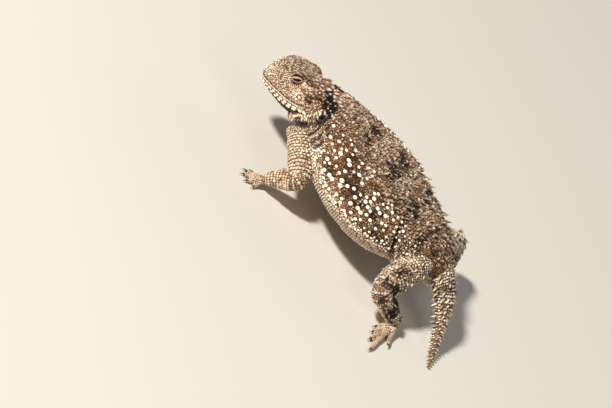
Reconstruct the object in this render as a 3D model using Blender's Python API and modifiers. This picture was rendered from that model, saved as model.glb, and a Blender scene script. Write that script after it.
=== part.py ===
"""A life-size greater short-horned lizard, standing tall on a flat floor with its tail laid down.

The animal faces -X, its left side faces -Y and +Z is up. Sizes are in millimetres while a piece is being
shaped, and finish_node scales each finished piece to metres.
"""

import math
import random

import bmesh
import bpy
from mathutils import Matrix, Vector
from mathutils.bvhtree import BVHTree

METRES_PER_MM = 0.001
GAP = 0.3
SINK = 0.7
LEFT, RIGHT = -1, 1

# Where the model stands: the hips are at x = 0 while it is shaped, and this brings the box's centre to 0.
SHIFT_X = 24.45
SHIFT_Y = -0.27

# Trunk: distance behind the hips, height of the widest level, half width, height above it, depth below it.
TRUNK = (
    (-61.0, 21.9, 9.8, 9.3, 7.6),
    (-57.0, 22.0, 12.0, 9.9, 8.6),
    (-52.0, 21.6, 15.3, 10.6, 9.6),
    (-45.0, 20.9, 19.8, 11.1, 10.9),
    (-37.0, 20.4, 23.6, 11.3, 12.3),
    (-28.5, 19.9, 25.3, 11.7, 12.9),
    (-20.0, 19.4, 24.6, 11.2, 12.6),
    (-12.0, 19.1, 21.4, 10.1, 11.3),
    (-5.0, 19.4, 16.2, 9.1, 9.3),
    (1.0, 19.6, 11.0, 8.2, 7.6),
    (6.0, 18.2, 8.3, 7.0, 6.3),
    (9.5, 16.6, 6.6, 5.9, 5.4),
)
TRUNK_SQUARENESS = 2.25
NECK_OUTLINE = (12.4, 10.3, 22.0)
NECK_SPINE_ANGLES, NECK_SPINES_X = (58.0, 78.0, 98.0, 117.0, 135.0), -60.2
NECK = (
    (-71.5, 0.0, 17.4, 2.6, 2.2),
    (-69.5, 0.0, 18.4, 5.2, 4.2),
    (-66.0, 0.0, 20.4, 7.8, 7.1),
    (-61.5, 0.0, 21.8, 10.2, 8.9),
    (-55.0, 0.0, 22.4, 12.6, 9.8),
)
TORSO_FRONT = -58.0

# Tail: place of its centre line, half width and half height, from inside the hips to the tip on the floor.
TAIL = (
    (4.5, 0.0, 18.6, 7.0, 6.2),
    (9.5, 0.0, 16.5, 6.0, 5.2),
    (15.0, -1.0, 14.4, 4.7, 3.9),
    (18.9, -2.9, 11.6, 3.5, 2.9),
    (21.8, -5.0, 8.6, 2.6, 2.2),
    (24.3, -7.7, 5.6, 2.05, 1.75),
    (26.6, -10.3, 3.2, 1.6, 1.4),
    (28.7, -13.2, 1.3, 1.2, 1.1),
    (30.3, -17.2, 0.55, 0.75, 0.68),
    (30.9, -18.9, 0.42, 0.45, 0.42),
)
TAIL_PARTING = 0.45

# Limbs, as seen from the side they are on: joint places and the radius of the flesh along the bones.
STUB_SHARE, STUB_REACH = 1.16, 0.36
SHOULDER = (-55.2, 10.2, 18.0)
ARM_RADII = (4.5, 4.2, 3.5, 3.4, 2.3)
HIP = (1.5, 6.5, 18.6)
LEG_RADII = (4.9, 4.7, 3.6, 3.4, 2.4)
ARMS = {
    LEFT: {"elbow": (-44.6, 22.6, 11.9), "wrist": (-52.0, 23.8, 3.1), "heading": 219.0},
    RIGHT: {"elbow": (-43.4, 23.0, 12.1), "wrist": (-49.6, 25.6, 3.1), "heading": 212.0},
}
LEGS = {
    LEFT: {"knee": (0.6, 26.0, 10.6), "ankle": (12.0, 20.6, 3.5), "heading": 268.0},
    RIGHT: {"knee": (6.4, 26.6, 15.4), "ankle": (13.2, 22.8, 3.5), "heading": 244.0},
}
# Digits from the inner to the outer: angle from the foot's heading, and reach from the wrist or ankle.
FINGERS = ((-44.0, 5.3), (-22.0, 7.1), (0.0, 7.9), (21.0, 7.4), (46.0, 5.7))
TOES = ((-26.0, 8.6), (-15.0, 11.6), (-6.5, 15.4), (2.5, 19.4), (27.0, 9.8))
FINGER_RADIUS, TOE_RADIUS = 0.95, 1.05
CLAW_LENGTH, CLAW_RADIUS = 1.7, 0.42

# Head, in its own frame: x back from the snout tip, z up from the line of the mouth.
SNOUT_TIP = (-79.6, 0.0, 15.9)
HEAD_PITCH, HEAD_ROLL = math.radians(17.0), math.radians(-9.0)
HEAD_STATIONS = (0.25, 1.0, 2.4, 4.4, 6.8, 9.4, 12.2, 15.0, 17.9, 20.4, 21.8)
MOUTH_HALF_WIDTH = ((0.0, 1.5), (1.0, 3.3), (2.6, 4.7), (5.0, 6.3), (9.4, 8.3), (14.0, 10.1), (17.9, 10.8),
                    (20.4, 10.0), (21.8, 7.0))
BROW_HALF_WIDTH = ((0.0, 1.1), (2.0, 3.0), (4.6, 4.9), (8.0, 6.7), (11.0, 7.3), (14.0, 6.8), (17.9, 5.3),
                   (20.4, 4.5), (21.8, 3.6))
CROWN_HEIGHT = ((0.0, 1.9), (1.0, 4.6), (2.4, 7.0), (4.4, 8.9), (7.3, 10.2), (12.6, 10.0), (17.9, 8.4),
                (20.4, 7.1), (21.8, 5.0))
JAW_DEPTH = ((0.0, 1.0), (1.3, 1.9), (4.4, 3.0), (7.5, 3.8), (15.0, 5.0), (19.2, 4.2), (21.8, 1.4))
EYE_PLACE, EYE_RADIUS = (12.5, 5.6, 6.6), 2.35
LID_THICKNESS, EYE_SLIT, EYE_TILT = 0.6, (4.6, 2.0), math.radians(22.0)
# The bony brow over the eye as a ridge, and the swollen rear cheek as lumps with their half sizes.
BROW = ((7.6, 5.6, 8.0, 0.4, 0.4), (9.6, 6.5, 8.6, 1.1, 0.8), (12.0, 7.1, 9.0, 1.5, 1.0),
        (14.4, 6.8, 9.0, 1.3, 0.9), (16.6, 6.0, 8.6, 0.5, 0.5))
CHEEK = ((16.8, 8.7, 4.9, 2.2, 1.6, 1.6), (19.0, 8.2, 5.4, 2.1, 1.8, 1.7), (20.9, 6.9, 5.8, 1.8, 1.9, 1.6),
         (19.3, 8.8, 3.2, 2.1, 1.6, 1.6))
LIP_RADIUS, LIP_RISE = 0.6, 0.8
NOSTRIL_PLACE, NOSTRIL_RADIUS = (2.3, 2.9, 4.9), 0.42
EAR_PLACE, EAR_SIZE = (18.4, 10.4, 3.4), (0.8, 0.9, 1.5)
MOUTH_END, GROOVE_RADIUS = 17.0, 0.28
# Horns: place back from the snout, out from the middle and up, then length and the way each points.
HORNS = {
    "occipital": ((19.0, 2.6, 8.3), 2.0, (0.72, 0.10, 0.70)),
    "temporal_upper": ((18.4, 6.6, 8.6), 2.3, (0.66, 0.40, 0.64)),
    "temporal_middle": ((22.0, 9.4, 6.4), 1.9, (0.76, 0.56, 0.34)),
    "temporal_lower": ((19.6, 11.2, 4.2), 1.8, (0.56, 0.84, 0.05)),
}
HORN_RADIUS = 1.3

# Spines: angle from the middle of the back, length, radius, spacing along the body.
BACK_ROWS = ((11.0, 1.9, 0.85, 6.4), (30.0, 2.0, 0.9, 6.0), (47.0, 1.8, 0.95, 5.6), (63.0, 1.3, 1.0, 4.9))
FRINGE_ANGLE, FRINGE_LENGTH, FRINGE_RADIUS, FRINGE_SPACING = 93.0, 1.7, 0.75, 3.4
TAIL_ROWS = ((16.0, 0.75), (52.0, 0.9), (92.0, 1.15))
TAIL_SPINE_SPACING = 3.3

SAND, PALE, HORN, DARK = (0.52, 0.40, 0.28), (0.72, 0.62, 0.47), (0.46, 0.33, 0.24), (0.02, 0.015, 0.01)
draws = random.Random(7)


def clear_scene():
    for obj in list(bpy.data.objects):
        bpy.data.objects.remove(obj)


def new_collection(name):
    made = bpy.data.collections.new(name)
    bpy.context.scene.collection.children.link(made)
    return made


def new_material(name, colour, roughness):
    made = bpy.data.materials.new(name)
    made.use_nodes = True
    shader = made.node_tree.nodes["Principled BSDF"]
    shader.inputs["Base Color"].default_value = (*colour, 1.0)
    shader.inputs["Roughness"].default_value = roughness
    shader.inputs["Metallic"].default_value = 0.0
    return made


def object_from(bm, name, collection):
    """Turns a bmesh into an object whose faces point out."""
    bmesh.ops.recalc_face_normals(bm, faces=bm.faces)
    mesh = bpy.data.meshes.new(name)
    bm.to_mesh(mesh)
    bm.free()
    obj = bpy.data.objects.new(name, mesh)
    collection.objects.link(obj)
    return obj


def apply_modifiers(obj):
    """Makes what the modifiers show the object's own mesh."""
    depsgraph = bpy.context.evaluated_depsgraph_get()
    depsgraph.update()
    mesh = bpy.data.meshes.new_from_object(obj.evaluated_get(depsgraph))
    obj.modifiers.clear()
    obj.data = mesh
    return obj


def copy_of(obj, swell=0.0):
    """A copy of a piece for cutting with, swollen by the gap that neighbours keep."""
    made = bpy.data.objects.new(obj.name + "_copy", obj.data.copy())
    cutters.objects.link(made)
    if swell:
        layer = made.modifiers.new("swell", "DISPLACE")
        layer.strength = swell
        layer.mid_level = 0.0
        apply_modifiers(made)
    return made


def remove(objects):
    for obj in list(objects):
        bpy.data.objects.remove(obj)


def cut(obj, tools):
    """Takes each tool away from the piece, and the tools with it. EXACT loses whole lengths at these thin cuts."""
    for tool in tools:
        step = obj.modifiers.new("cut", "BOOLEAN")
        step.operation = "DIFFERENCE"
        step.solver = "MANIFOLD"
        step.object = tool
        apply_modifiers(obj)
    remove(tools)
    return obj


def join(obj, pieces):
    """Fuses a list of closed pieces to the object in one union."""
    if not pieces:
        return obj
    group = bpy.data.collections.new(obj.name + "_pieces")
    bpy.context.scene.collection.children.link(group)
    for piece in pieces:
        for home in list(piece.users_collection):
            home.objects.unlink(piece)
        group.objects.link(piece)
    step = obj.modifiers.new("join", "BOOLEAN")
    step.operation = "UNION"
    step.operand_type = "COLLECTION"
    step.solver = "MANIFOLD"
    step.collection = group
    apply_modifiers(obj)
    remove(pieces)
    bpy.data.collections.remove(group)
    return obj


def keep_largest(obj):
    """Leaves only the largest closed surface of the piece."""
    bm = bmesh.new()
    bm.from_mesh(obj.data)
    left = set(bm.verts)
    islands = []
    while left:
        start = left.pop()
        found, edge = {start}, [start]
        while edge:
            for link in edge.pop().link_edges:
                for vert in link.verts:
                    if vert not in found:
                        found.add(vert)
                        edge.append(vert)
        left -= found
        islands.append(found)
    islands.sort(key=len)
    for small in islands[:-1]:
        bmesh.ops.delete(bm, geom=list(small), context="VERTS")
    bm.to_mesh(obj.data)
    bm.free()
    return obj


def between(values, t):
    """Catmull-Rom between the middle two of four values."""
    a, b, c, d = values
    return 0.5 * (2 * b + (c - a) * t + (2 * a - 5 * b + 4 * c - d) * t * t + (3 * b - a - 3 * c + d) * t**3)


def smooth_rows(rows, steps):
    """The rows with smooth ones added between them."""
    made = []
    last = len(rows) - 1
    for i in range(last):
        four = [rows[max(i - 1, 0)], rows[i], rows[i + 1], rows[min(i + 2, last)]]
        for step in range(steps):
            made.append(tuple(between(column, step / steps) for column in zip(*four)))
    made.append(tuple(rows[-1]))
    return made


def value_at(profile, x):
    """Reads a profile of (x, value) pairs, smoothly between its points."""
    last = len(profile) - 1
    if x <= profile[0][0]:
        return profile[0][1]
    if x >= profile[last][0]:
        return profile[last][1]
    i = next(n for n in range(last) if profile[n + 1][0] > x)
    t = (x - profile[i][0]) / (profile[i + 1][0] - profile[i][0])
    four = [profile[max(i - 1, 0)][1], profile[i][1], profile[i + 1][1], profile[min(i + 2, last)][1]]
    return between(four, t)


def skin_rings(bm, rings):
    """Closes a row of equal rings into one solid."""
    for first, second in zip(rings, rings[1:]):
        count = len(first)
        for k in range(count):
            bm.faces.new((first[k], first[(k + 1) % count], second[(k + 1) % count], second[k]))
    bm.faces.new(rings[0])
    bm.faces.new(list(reversed(rings[-1])))


def tube(name, stations, up, sides, steps):
    """A solid of oval sections along a smooth path of (x, y, z, half width, half height)."""
    rows = smooth_rows(stations, steps)
    centres = [Vector(row[:3]) for row in rows]
    bm = bmesh.new()
    rings = []
    for i, (centre, row) in enumerate(zip(centres, rows)):
        ahead = (centres[min(i + 1, len(rows) - 1)] - centres[max(i - 1, 0)]).normalized()
        side = ahead.cross(up).normalized()
        top = side.cross(ahead)
        ring = []
        for k in range(sides):
            turn = 2 * math.pi * k / sides
            ring.append(bm.verts.new(centre + side * row[3] * math.cos(turn) + top * row[4] * math.sin(turn)))
        rings.append(ring)
    skin_rings(bm, rings)
    return object_from(bm, name, cutters)


def cone(name, root, way, length, radius, sides, flatten=1.0, tip_share=0.0, sink=SINK):
    """A spine, scute or horn with its root sunk below the surface."""
    way = Vector(way).normalized()
    bm = bmesh.new()
    bmesh.ops.create_cone(bm, cap_ends=True, segments=sides, radius1=radius, radius2=radius * tip_share + 0.02,
                          depth=length + sink)
    bmesh.ops.translate(bm, verts=bm.verts, vec=(0, 0, (length - sink) / 2))
    bmesh.ops.scale(bm, verts=bm.verts, vec=(1.0, flatten, 1.0))
    turned = way.to_track_quat("Z", "Y").to_matrix().to_4x4()
    bmesh.ops.transform(bm, verts=bm.verts, matrix=Matrix.Translation(root) @ turned)
    return object_from(bm, name, cutters)


def ball(name, place, size, segments=14):
    bm = bmesh.new()
    bmesh.ops.create_uvsphere(bm, u_segments=segments, v_segments=max(6, segments * 2 // 3), radius=1.0)
    bmesh.ops.transform(bm, verts=bm.verts, matrix=Matrix.Translation(place) @ Matrix.Diagonal((*size, 1.0)))
    return object_from(bm, name, cutters)


def disc(centre, way, radius):
    """The thin cutter that parts one length of a limb from the next."""
    bm = bmesh.new()
    bmesh.ops.create_cone(bm, cap_ends=True, segments=24, radius1=radius, radius2=radius, depth=GAP)
    turned = Vector(way).to_track_quat("Z", "Y").to_matrix().to_4x4()
    bmesh.ops.transform(bm, verts=bm.verts, matrix=Matrix.Translation(centre) @ turned)
    return object_from(bm, "parting", cutters)


def slab(low, high):
    bm = bmesh.new()
    bmesh.ops.create_cube(bm, size=1.0)
    low, high = Vector(low), Vector(high)
    size = Matrix.Diagonal((*(high - low), 1.0))
    bmesh.ops.transform(bm, verts=bm.verts, matrix=Matrix.Translation((low + high) / 2) @ size)
    return object_from(bm, "slab", cutters)


def melt(name, pieces, voxel, smoothing, triangles):
    """Melts overlapping pieces into one smooth skin of about that many triangles."""
    bm = bmesh.new()
    for piece in pieces:
        bm.from_mesh(piece.data)
    mesh = bpy.data.meshes.new(name)
    bm.to_mesh(mesh)
    bm.free()
    whole = bpy.data.objects.new(name, mesh)
    cutters.objects.link(whole)
    remove(pieces)
    layer = whole.modifiers.new("melt", "REMESH")
    layer.mode = "VOXEL"
    layer.voxel_size = voxel
    soften = whole.modifiers.new("soften", "SMOOTH")
    soften.factor = 0.5
    soften.iterations = smoothing
    whole.modifiers.new("triangles", "TRIANGULATE")
    apply_modifiers(whole)
    return thin_out(whole, triangles)


def thin_out(obj, triangles):
    obj.modifiers.new("triangles", "TRIANGULATE")
    apply_modifiers(obj)
    layer = obj.modifiers.new("thin", "DECIMATE")
    layer.ratio = min(1.0, triangles / len(obj.data.polygons))
    return apply_modifiers(obj)


def split_by(obj, parting):
    """Parts a piece with a thin cut, and gives its two sides, the one nearer the front first."""
    cut(obj, [parting])
    bm = bmesh.new()
    bm.from_mesh(obj.data)
    start = min(bm.verts, key=lambda v: (v.co - Vector(obj["front"])).length)
    found, edge = {start}, [start]
    while edge:
        for link in edge.pop().link_edges:
            for vert in link.verts:
                if vert not in found:
                    found.add(vert)
                    edge.append(vert)
    indices = {v.index for v in found}
    bm.free()
    halves = []
    for near in (True, False):
        part = bmesh.new()
        part.from_mesh(obj.data)
        unwanted = [v for v in part.verts if (v.index in indices) != near]
        bmesh.ops.delete(part, geom=unwanted, context="VERTS")
        halves.append(object_from(part, obj.name + "_half", cutters))
    bpy.data.objects.remove(obj)
    return halves


def tree_of(obj):
    bm = bmesh.new()
    bm.from_mesh(obj.data)
    tree = BVHTree.FromBMesh(bm)
    bm.free()
    return tree


def head_matrix():
    pitch = Matrix.Rotation(-HEAD_PITCH, 4, "Y")
    roll = Matrix.Rotation(HEAD_ROLL, 4, "X")
    return Matrix.Translation(SNOUT_TIP) @ pitch @ roll


def mirrored(place, side):
    """A place or way given for one side, on the side asked for."""
    return Vector((place[0], place[1] * side, place[2]))


def trunk_row(x):
    """The trunk's centre height and half sizes at one distance behind the hips."""
    columns = [[(row[0], row[n]) for row in TRUNK] for n in range(1, 5)]
    return tuple(value_at(column, x) for column in columns)


def trunk_shell():
    bm = bmesh.new()
    rings = []
    power = 2.0 / TRUNK_SQUARENESS
    for x, height, width, above, below in smooth_rows(TRUNK, 4):
        ring = []
        for k in range(40):
            turn = 2 * math.pi * k / 40
            c, s = math.cos(turn), math.sin(turn)
            y = math.copysign(abs(c) ** power, c) * width
            z = math.copysign(abs(s) ** power, s) * (above if s > 0 else below)
            ring.append(bm.verts.new((x, y, height + z)))
        rings.append(ring)
    skin_rings(bm, rings)
    return object_from(bm, "trunk", cutters)


def make_torso():
    pieces = [trunk_shell()]
    for side in (LEFT, RIGHT):
        for root, bend, radii in ((SHOULDER, ARMS[side]["elbow"], ARM_RADII), (HIP, LEGS[side]["knee"], LEG_RADII)):
            start, end = mirrored(root, side), mirrored(bend, side)
            pieces.append(ball("root", start, (radii[0] * 1.3,) * 3, 24))
            width = radii[0] * STUB_SHARE
            rows = [(*start, width, width), (*start.lerp(end, STUB_REACH), radii[1] * STUB_SHARE, radii[1] * STUB_SHARE)]
            pieces.append(tube("stub", rows, Vector((0.2, 0.1 * side, 1.0)), 20, 3))
    torso = melt("torso", pieces, 0.7, 6, 1500)
    width, height, level = NECK_OUTLINE
    front = ((TORSO_FRONT - 20.0, 0.0, level, width, height), (TORSO_FRONT, 0.0, level, width, height))
    return keep_largest(cut(torso, [tube("front", front, Vector((0, 0, 1)), 32, 1)]))


def head_shell():
    """A coarse cage of the head, from its profiles, rounded by subdivision."""
    bm = bmesh.new()
    rings = []
    for x in HEAD_STATIONS:
        mouth = value_at(MOUTH_HALF_WIDTH, x)
        brow = value_at(BROW_HALF_WIDTH, x)
        crown = value_at(CROWN_HEIGHT, x)
        jaw = value_at(JAW_DEPTH, x)
        half = (
            (0.48 * mouth, -1.02 * jaw),
            (0.84 * mouth, -0.86 * jaw),
            (0.99 * mouth, -0.34 * jaw),
            (1.03 * mouth, 0.10 * crown),
            (0.72 * mouth + 0.30 * brow, 0.42 * crown),
            (0.22 * mouth + 0.74 * brow, 0.72 * crown),
            (1.03 * brow, 0.98 * crown),
            (0.52 * brow, 1.04 * crown),
        )
        points = [(0.0, -1.06 * jaw), *half, (0.0, 1.0 * crown)]
        points += [(-y, z) for y, z in reversed(half)]
        rings.append([bm.verts.new((x - 0.25, y, z)) for y, z in points])
    skin_rings(bm, rings)
    shell = object_from(bm, "head", cutters)
    layer = shell.modifiers.new("round", "SUBSURF")
    layer.levels = layer.render_levels = 2
    apply_modifiers(shell)
    shell.data.transform(head_matrix())
    lip = along_mouth("lip", LIP_RADIUS, LIP_RISE, MOUTH_END - 1.0, 8)
    return melt("head", [shell, lip] + face_ridges(), 0.35, 2, 1300)


def eye_matrix(side):
    return head_matrix() @ Matrix.Translation(mirrored(EYE_PLACE, side))


def make_eye(side):
    eye = ball("eye", (0, 0, 0), (EYE_RADIUS,) * 3, 12)
    eye.data.transform(eye_matrix(side))
    return eye


def lid_shell(side):
    """The two lids as one domed shell with the slit of the eye left open."""
    outer = ball("lids", (0, 0, 0), (EYE_RADIUS + GAP + LID_THICKNESS,) * 3, 13)
    inner = ball("hollow", (0, 0, 0), (EYE_RADIUS + GAP,) * 3, 13)
    slit = ball("slit", (0, 3.0 * side, 0.05), (EYE_SLIT[0] / 2, 4.0, EYE_SLIT[1] / 2), 12)
    slit.data.transform(Matrix.Rotation(-EYE_TILT, 4, "Y"))
    lids = cut(outer, [inner, slit, behind_eye(side, -0.6)])
    lids.data.transform(eye_matrix(side))
    return lids


def behind_eye(side, reach):
    """A block over all that lies behind the eye, up to a plane that far out from its middle."""
    block = slab((-5, -5, -5), (5, 5, 5))
    block.data.transform(Matrix.Translation((0, (reach - 5.0) * side, 0)))
    return block


def socket(side):
    """What the lids take the place of in the side of the head."""
    size = EYE_RADIUS + GAP + LID_THICKNESS / 2
    dent = cut(ball("socket", (0, 0, 0), (size,) * 3, 14), [behind_eye(side, 0.4)])
    dent.data.transform(eye_matrix(side))
    return dent


def along_mouth(name, radius, rise, reach, sides):
    """A thin round tube along the line of the mouth, from corner to corner, or a lip beside it."""
    row = []
    steps = 7
    for i in range(-steps, steps + 1):
        share = abs(i) / steps
        x = reach * share**1.6
        y = math.copysign(value_at(MOUTH_HALF_WIDTH, x), i) * (0.985 if i else 0.0)
        height = 0.25 - 0.5 * share + 0.9 * share**6 + rise
        row.append((x - 0.12 * (1 - share), y, height, radius, radius))
    made = tube(name, row, Vector((0, 0, 1)), sides, 1)
    made.data.transform(head_matrix())
    return made


def face_ridges():
    """The brows and the lumps of the rear cheeks."""
    made = []
    for side in (LEFT, RIGHT):
        sided = [(x, y * side, z, w, h) for x, y, z, w, h in BROW]
        made.append(tube("brow", sided, Vector((0, 0, 1)), 12, 3))
        made += [ball("cheek", (x, y * side, z), size, 20) for x, y, z, *size in CHEEK]
    for piece in made:
        piece.data.transform(head_matrix())
    return made


def sublabial_scutes(tree):
    """The large pale scales along the lower edge of the jaw, the last one a spike."""
    place = head_matrix()
    made = []
    for side in (LEFT, RIGHT):
        for i in range(8):
            x = 2.4 + 2.05 * i
            start = Vector((x, side * 1.0, 0.5))
            way = Vector((0.0, side * 0.86, -0.36)).normalized()
            hit, normal, _, _ = tree.ray_cast(place @ start, place.to_3x3() @ way)
            if hit is None:
                continue
            lean = place.to_3x3() @ Vector((0.9 if i < 7 else 1.5, 0, 0.0))
            made.append(cone("scute", hit, normal + lean, 0.55 + 0.09 * i, 0.72 + 0.03 * i, 5, 0.8))
    return made


def make_head(eyes):
    head = head_shell()
    tree = tree_of(head)
    pieces = [lid_shell(LEFT), lid_shell(RIGHT)]
    pieces += sublabial_scutes(tree)
    cutting = [copy_of(eye, GAP) for eye in eyes] + [socket(LEFT), socket(RIGHT)]
    for side in (LEFT, RIGHT):
        nostril = ball("nostril", mirrored(NOSTRIL_PLACE, side), (NOSTRIL_RADIUS, 0.9, NOSTRIL_RADIUS), 8)
        ear = ball("ear", mirrored(EAR_PLACE, side), EAR_SIZE, 10)
        for dent in (nostril, ear):
            dent.data.transform(head_matrix())
            cutting.append(dent)
    cutting.append(along_mouth("groove", GROOVE_RADIUS, 0.0, MOUTH_END, 5))
    cut(head, cutting)
    join(head, pieces)
    return keep_largest(head)


def make_neck(torso, head):
    neck = tube("neck", NECK, Vector((0, 0, 1)), 20, 2)
    return keep_largest(cut(neck, [copy_of(torso, GAP), copy_of(head, GAP)]))


def make_tail(torso):
    tail = tube("tail", TAIL, Vector((0, 0, 1)), 12, 2)
    cut(tail, [copy_of(torso, GAP), slab((-10, -60, -10), (80, 60, 0))])
    keep_largest(tail)
    tail["front"] = (8.0, 0.0, 16.0)
    rows = smooth_rows(TAIL, 2)
    at = int(len(rows) * TAIL_PARTING)
    way = Vector(rows[at + 1][:3]) - Vector(rows[at - 1][:3])
    return split_by(tail, disc(rows[at][:3], way, 4.5))


def limb(root, middle, end, radii, side, bulge):
    """An upper and a lower length of one limb, parted at its bend."""
    root, middle, end = mirrored(root, side), mirrored(middle, side), mirrored(end, side)
    down = (end - middle).normalized()
    rows = [
        (*root, radii[0], radii[0] * 0.95),
        (*root.lerp(middle, 0.5), radii[1] * bulge, radii[1]),
        (*middle, radii[2], radii[2]),
        (*middle.lerp(end, 0.38), radii[3] * bulge, radii[3]),
        (*(end - down * 0.4), radii[4], radii[4]),
    ]
    made = melt("limb", [tube("limb", rows, Vector((0.2, 0.1 * side, 1.0)), 16, 4)], 0.4, 3, 380)
    made["front"] = tuple(root.lerp(middle, 0.55))
    way = (middle - root).normalized() + down
    return made, disc(middle, way, radii[2] * 2.0)


def make_limb(torso, root, middle, end, radii, side):
    whole, parting = limb(root, middle, end, radii, side, 1.06)
    keep_largest(cut(whole, [copy_of(torso, GAP)]))
    return split_by(whole, parting)


def make_foot(lower, root, heading, digits, radius, side, name):
    """A palm or sole with its digits flat on the floor, and a claw on each."""
    root = mirrored(root, side)
    pieces, claws = [], []
    for turn, reach in digits:
        angle = math.radians(heading + turn)
        way = Vector((math.cos(angle), -side * math.sin(angle), 0.0))
        floor = radius * 0.72
        tip = root + way * (reach - 1.0)
        knuckle = root + way * min(reach * 0.42, 5.0)
        rows = [
            (*(root - way * 0.6), radius * 1.5, radius * 1.4),
            (knuckle.x, knuckle.y, floor + 0.75, radius * 1.12, radius * 1.08),
            (*root.lerp(tip, 0.7).xy, floor + 0.12, radius * 0.9, radius * 0.9),
            (tip.x, tip.y, floor - 0.02, radius * 0.72, radius * 0.74),
        ]
        pieces.append(tube("digit", rows, Vector((0, 0, 1)), 10, 3))
        claw_root = Vector((tip.x, tip.y, floor * 0.95))
        claws.append(cone("claw", claw_root, way + Vector((0, 0, -0.16)), CLAW_LENGTH, CLAW_RADIUS, 5))
    palm = Vector((root.x, root.y, 0.0)) + (sum((Vector(p.data.vertices[-1].co) for p in pieces), Vector())
                                            / len(pieces) - Vector((root.x, root.y, 0.0))) * 0.22
    pieces.append(ball("palm", (palm.x, palm.y, 1.15), (radius * 2.5, radius * 2.5, 1.45), 16))
    foot = melt(name, pieces, 0.3, 2, 320)
    join(foot, claws)
    cut(foot, [copy_of(lower, GAP), slab((root.x - 40, root.y - 40, -10), (root.x + 40, root.y + 40, 0))])
    return keep_largest(foot)


def make_horns(head, neck):
    """The short horns round the back of the head, each its own piece."""
    place = head_matrix()
    tree = tree_of(head)
    made = {}
    for kind, (spot, length, way) in HORNS.items():
        for side, word in ((LEFT, "left"), (RIGHT, "right")):
            outward = place.to_3x3() @ mirrored(way, side)
            hit, _, _, _ = tree.find_nearest(place @ mirrored(spot, side))
            horn = cone("horn", hit, outward, length, HORN_RADIUS, 8, 0.85, 0.12, 1.6)
            cut(horn, [copy_of(head, GAP), copy_of(neck, GAP)])
            made[f"horn_{kind}_{word}"] = keep_largest(horn)
    return made


def is_clear(point, others, distance):
    return all(tree.find_nearest(point)[3] > distance for tree in others)


def spine_row(tree, others, places, length_of, radius, lean, sides=4):
    """Spines set on a surface where rays from inside it come out, leaning back."""
    made = []
    for start, way, back, share in places:
        hit, normal, _, _ = tree.ray_cast(start, way)
        if hit is None:
            continue
        length = length_of(share) * draws.uniform(0.82, 1.18)
        direction = (normal + back * lean).normalized()
        tip = hit + direction * length
        if not is_clear(tip, others, 0.75) or not is_clear(hit, others, radius + 0.7):
            continue
        if tip.z < 0.3:
            continue
        made.append(cone("spine", hit, direction, length, radius * draws.uniform(0.9, 1.1), sides, 0.85))
    return made


def torso_spines(torso, others):
    tree = tree_of(torso)
    back = Vector((1, 0, 0))
    made = []
    for n, (angle, length, radius, spacing) in enumerate(BACK_ROWS):
        for side in (LEFT, RIGHT):
            places = []
            count = int(58.0 / spacing)
            for i in range(count):
                x = -55.5 + spacing * (i + 0.5 * (n % 2)) + draws.uniform(-0.7, 0.7)
                turn = math.radians(angle + draws.uniform(-3.5, 3.5))
                height = trunk_row(x)[0]
                way = Vector((0, side * math.sin(turn), math.cos(turn)))
                places.append((Vector((x, 0, height)), way, back, i / count))
            made += spine_row(tree, others, places, lambda share: length * (0.6 + 0.55 * share), radius, 0.75)
    for side in (LEFT, RIGHT):
        count = int(50.0 / FRINGE_SPACING)
        places = []
        for i in range(count):
            x = -48.0 + FRINGE_SPACING * i
            turn = math.radians(FRINGE_ANGLE + draws.uniform(-1.5, 1.5))
            way = Vector((0, side * math.sin(turn), math.cos(turn)))
            places.append((Vector((x, 0, trunk_row(x)[0])), way, back, i / count))
        made += spine_row(tree, others, places, lambda share: FRINGE_LENGTH, FRINGE_RADIUS, 0.55)
    return made


def neck_spines(neck, others):
    """The pale spikes along the fold of the throat and up to the ears."""
    tree = tree_of(neck)
    height = value_at([(row[0], row[2]) for row in NECK], NECK_SPINES_X)
    places = []
    for side in (LEFT, RIGHT):
        for angle in NECK_SPINE_ANGLES:
            turn = math.radians(angle + draws.uniform(-4, 4))
            way = Vector((0, side * math.sin(turn), math.cos(turn)))
            places.append((Vector((NECK_SPINES_X, 0, height)), way, Vector((1, 0, 0)), 0.0))
    return spine_row(tree, others, places, lambda share: 1.4, 0.6, 0.3)


def path_spines(obj, others, stations, rows, spacing, length_at, up, lean, radius_share):
    """Rows of spines along a tail or limb, at set angles round its path."""
    tree = tree_of(obj)
    path = smooth_rows(stations, 12)
    points = [Vector(row[:3]) for row in path]
    made = []
    travelled, due = 0.0, spacing * 0.5
    for i in range(1, len(points)):
        travelled += (points[i] - points[i - 1]).length
        if travelled < due:
            continue
        due += spacing
        share = i / len(points)
        back = (points[i] - points[i - 1]).normalized()
        side_way = back.cross(up).normalized()
        top = side_way.cross(back)
        for angle, scale in rows:
            for side in (LEFT, RIGHT):
                turn = math.radians(angle + draws.uniform(-5, 5))
                way = top * math.cos(turn) + side_way * side * math.sin(turn)
                start = points[i] + back * draws.uniform(-0.4, 0.4)
                length = length_at(share) * scale
                place = [(start, way, back, share)]
                made += spine_row(tree, others, place, lambda s: length, max(0.42, length * radius_share), lean)
    return made


def limb_stations(root, middle, end, side):
    root, middle, end = mirrored(root, side), mirrored(middle, side), mirrored(end, side)
    return [(*root, 0, 0), (*middle, 0, 0), (*end, 0, 0)]


def finish_node(obj, name, material, parts):
    """Scales a finished piece to metres, names it and puts it with the parts."""
    move = Matrix.Translation((SHIFT_X, SHIFT_Y, 0.0))
    obj.data.transform(Matrix.Scale(METRES_PER_MM, 4) @ move)
    mesh = obj.data
    bpy.data.objects.remove(obj)
    mesh.name = name
    node = bpy.data.objects.new(name, mesh)
    node.data.shade_smooth()
    node.data.set_sharp_from_angle(angle=math.radians(40))
    node.data.materials.clear()
    node.data.materials.append(material)
    parts.objects.link(node)


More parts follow.
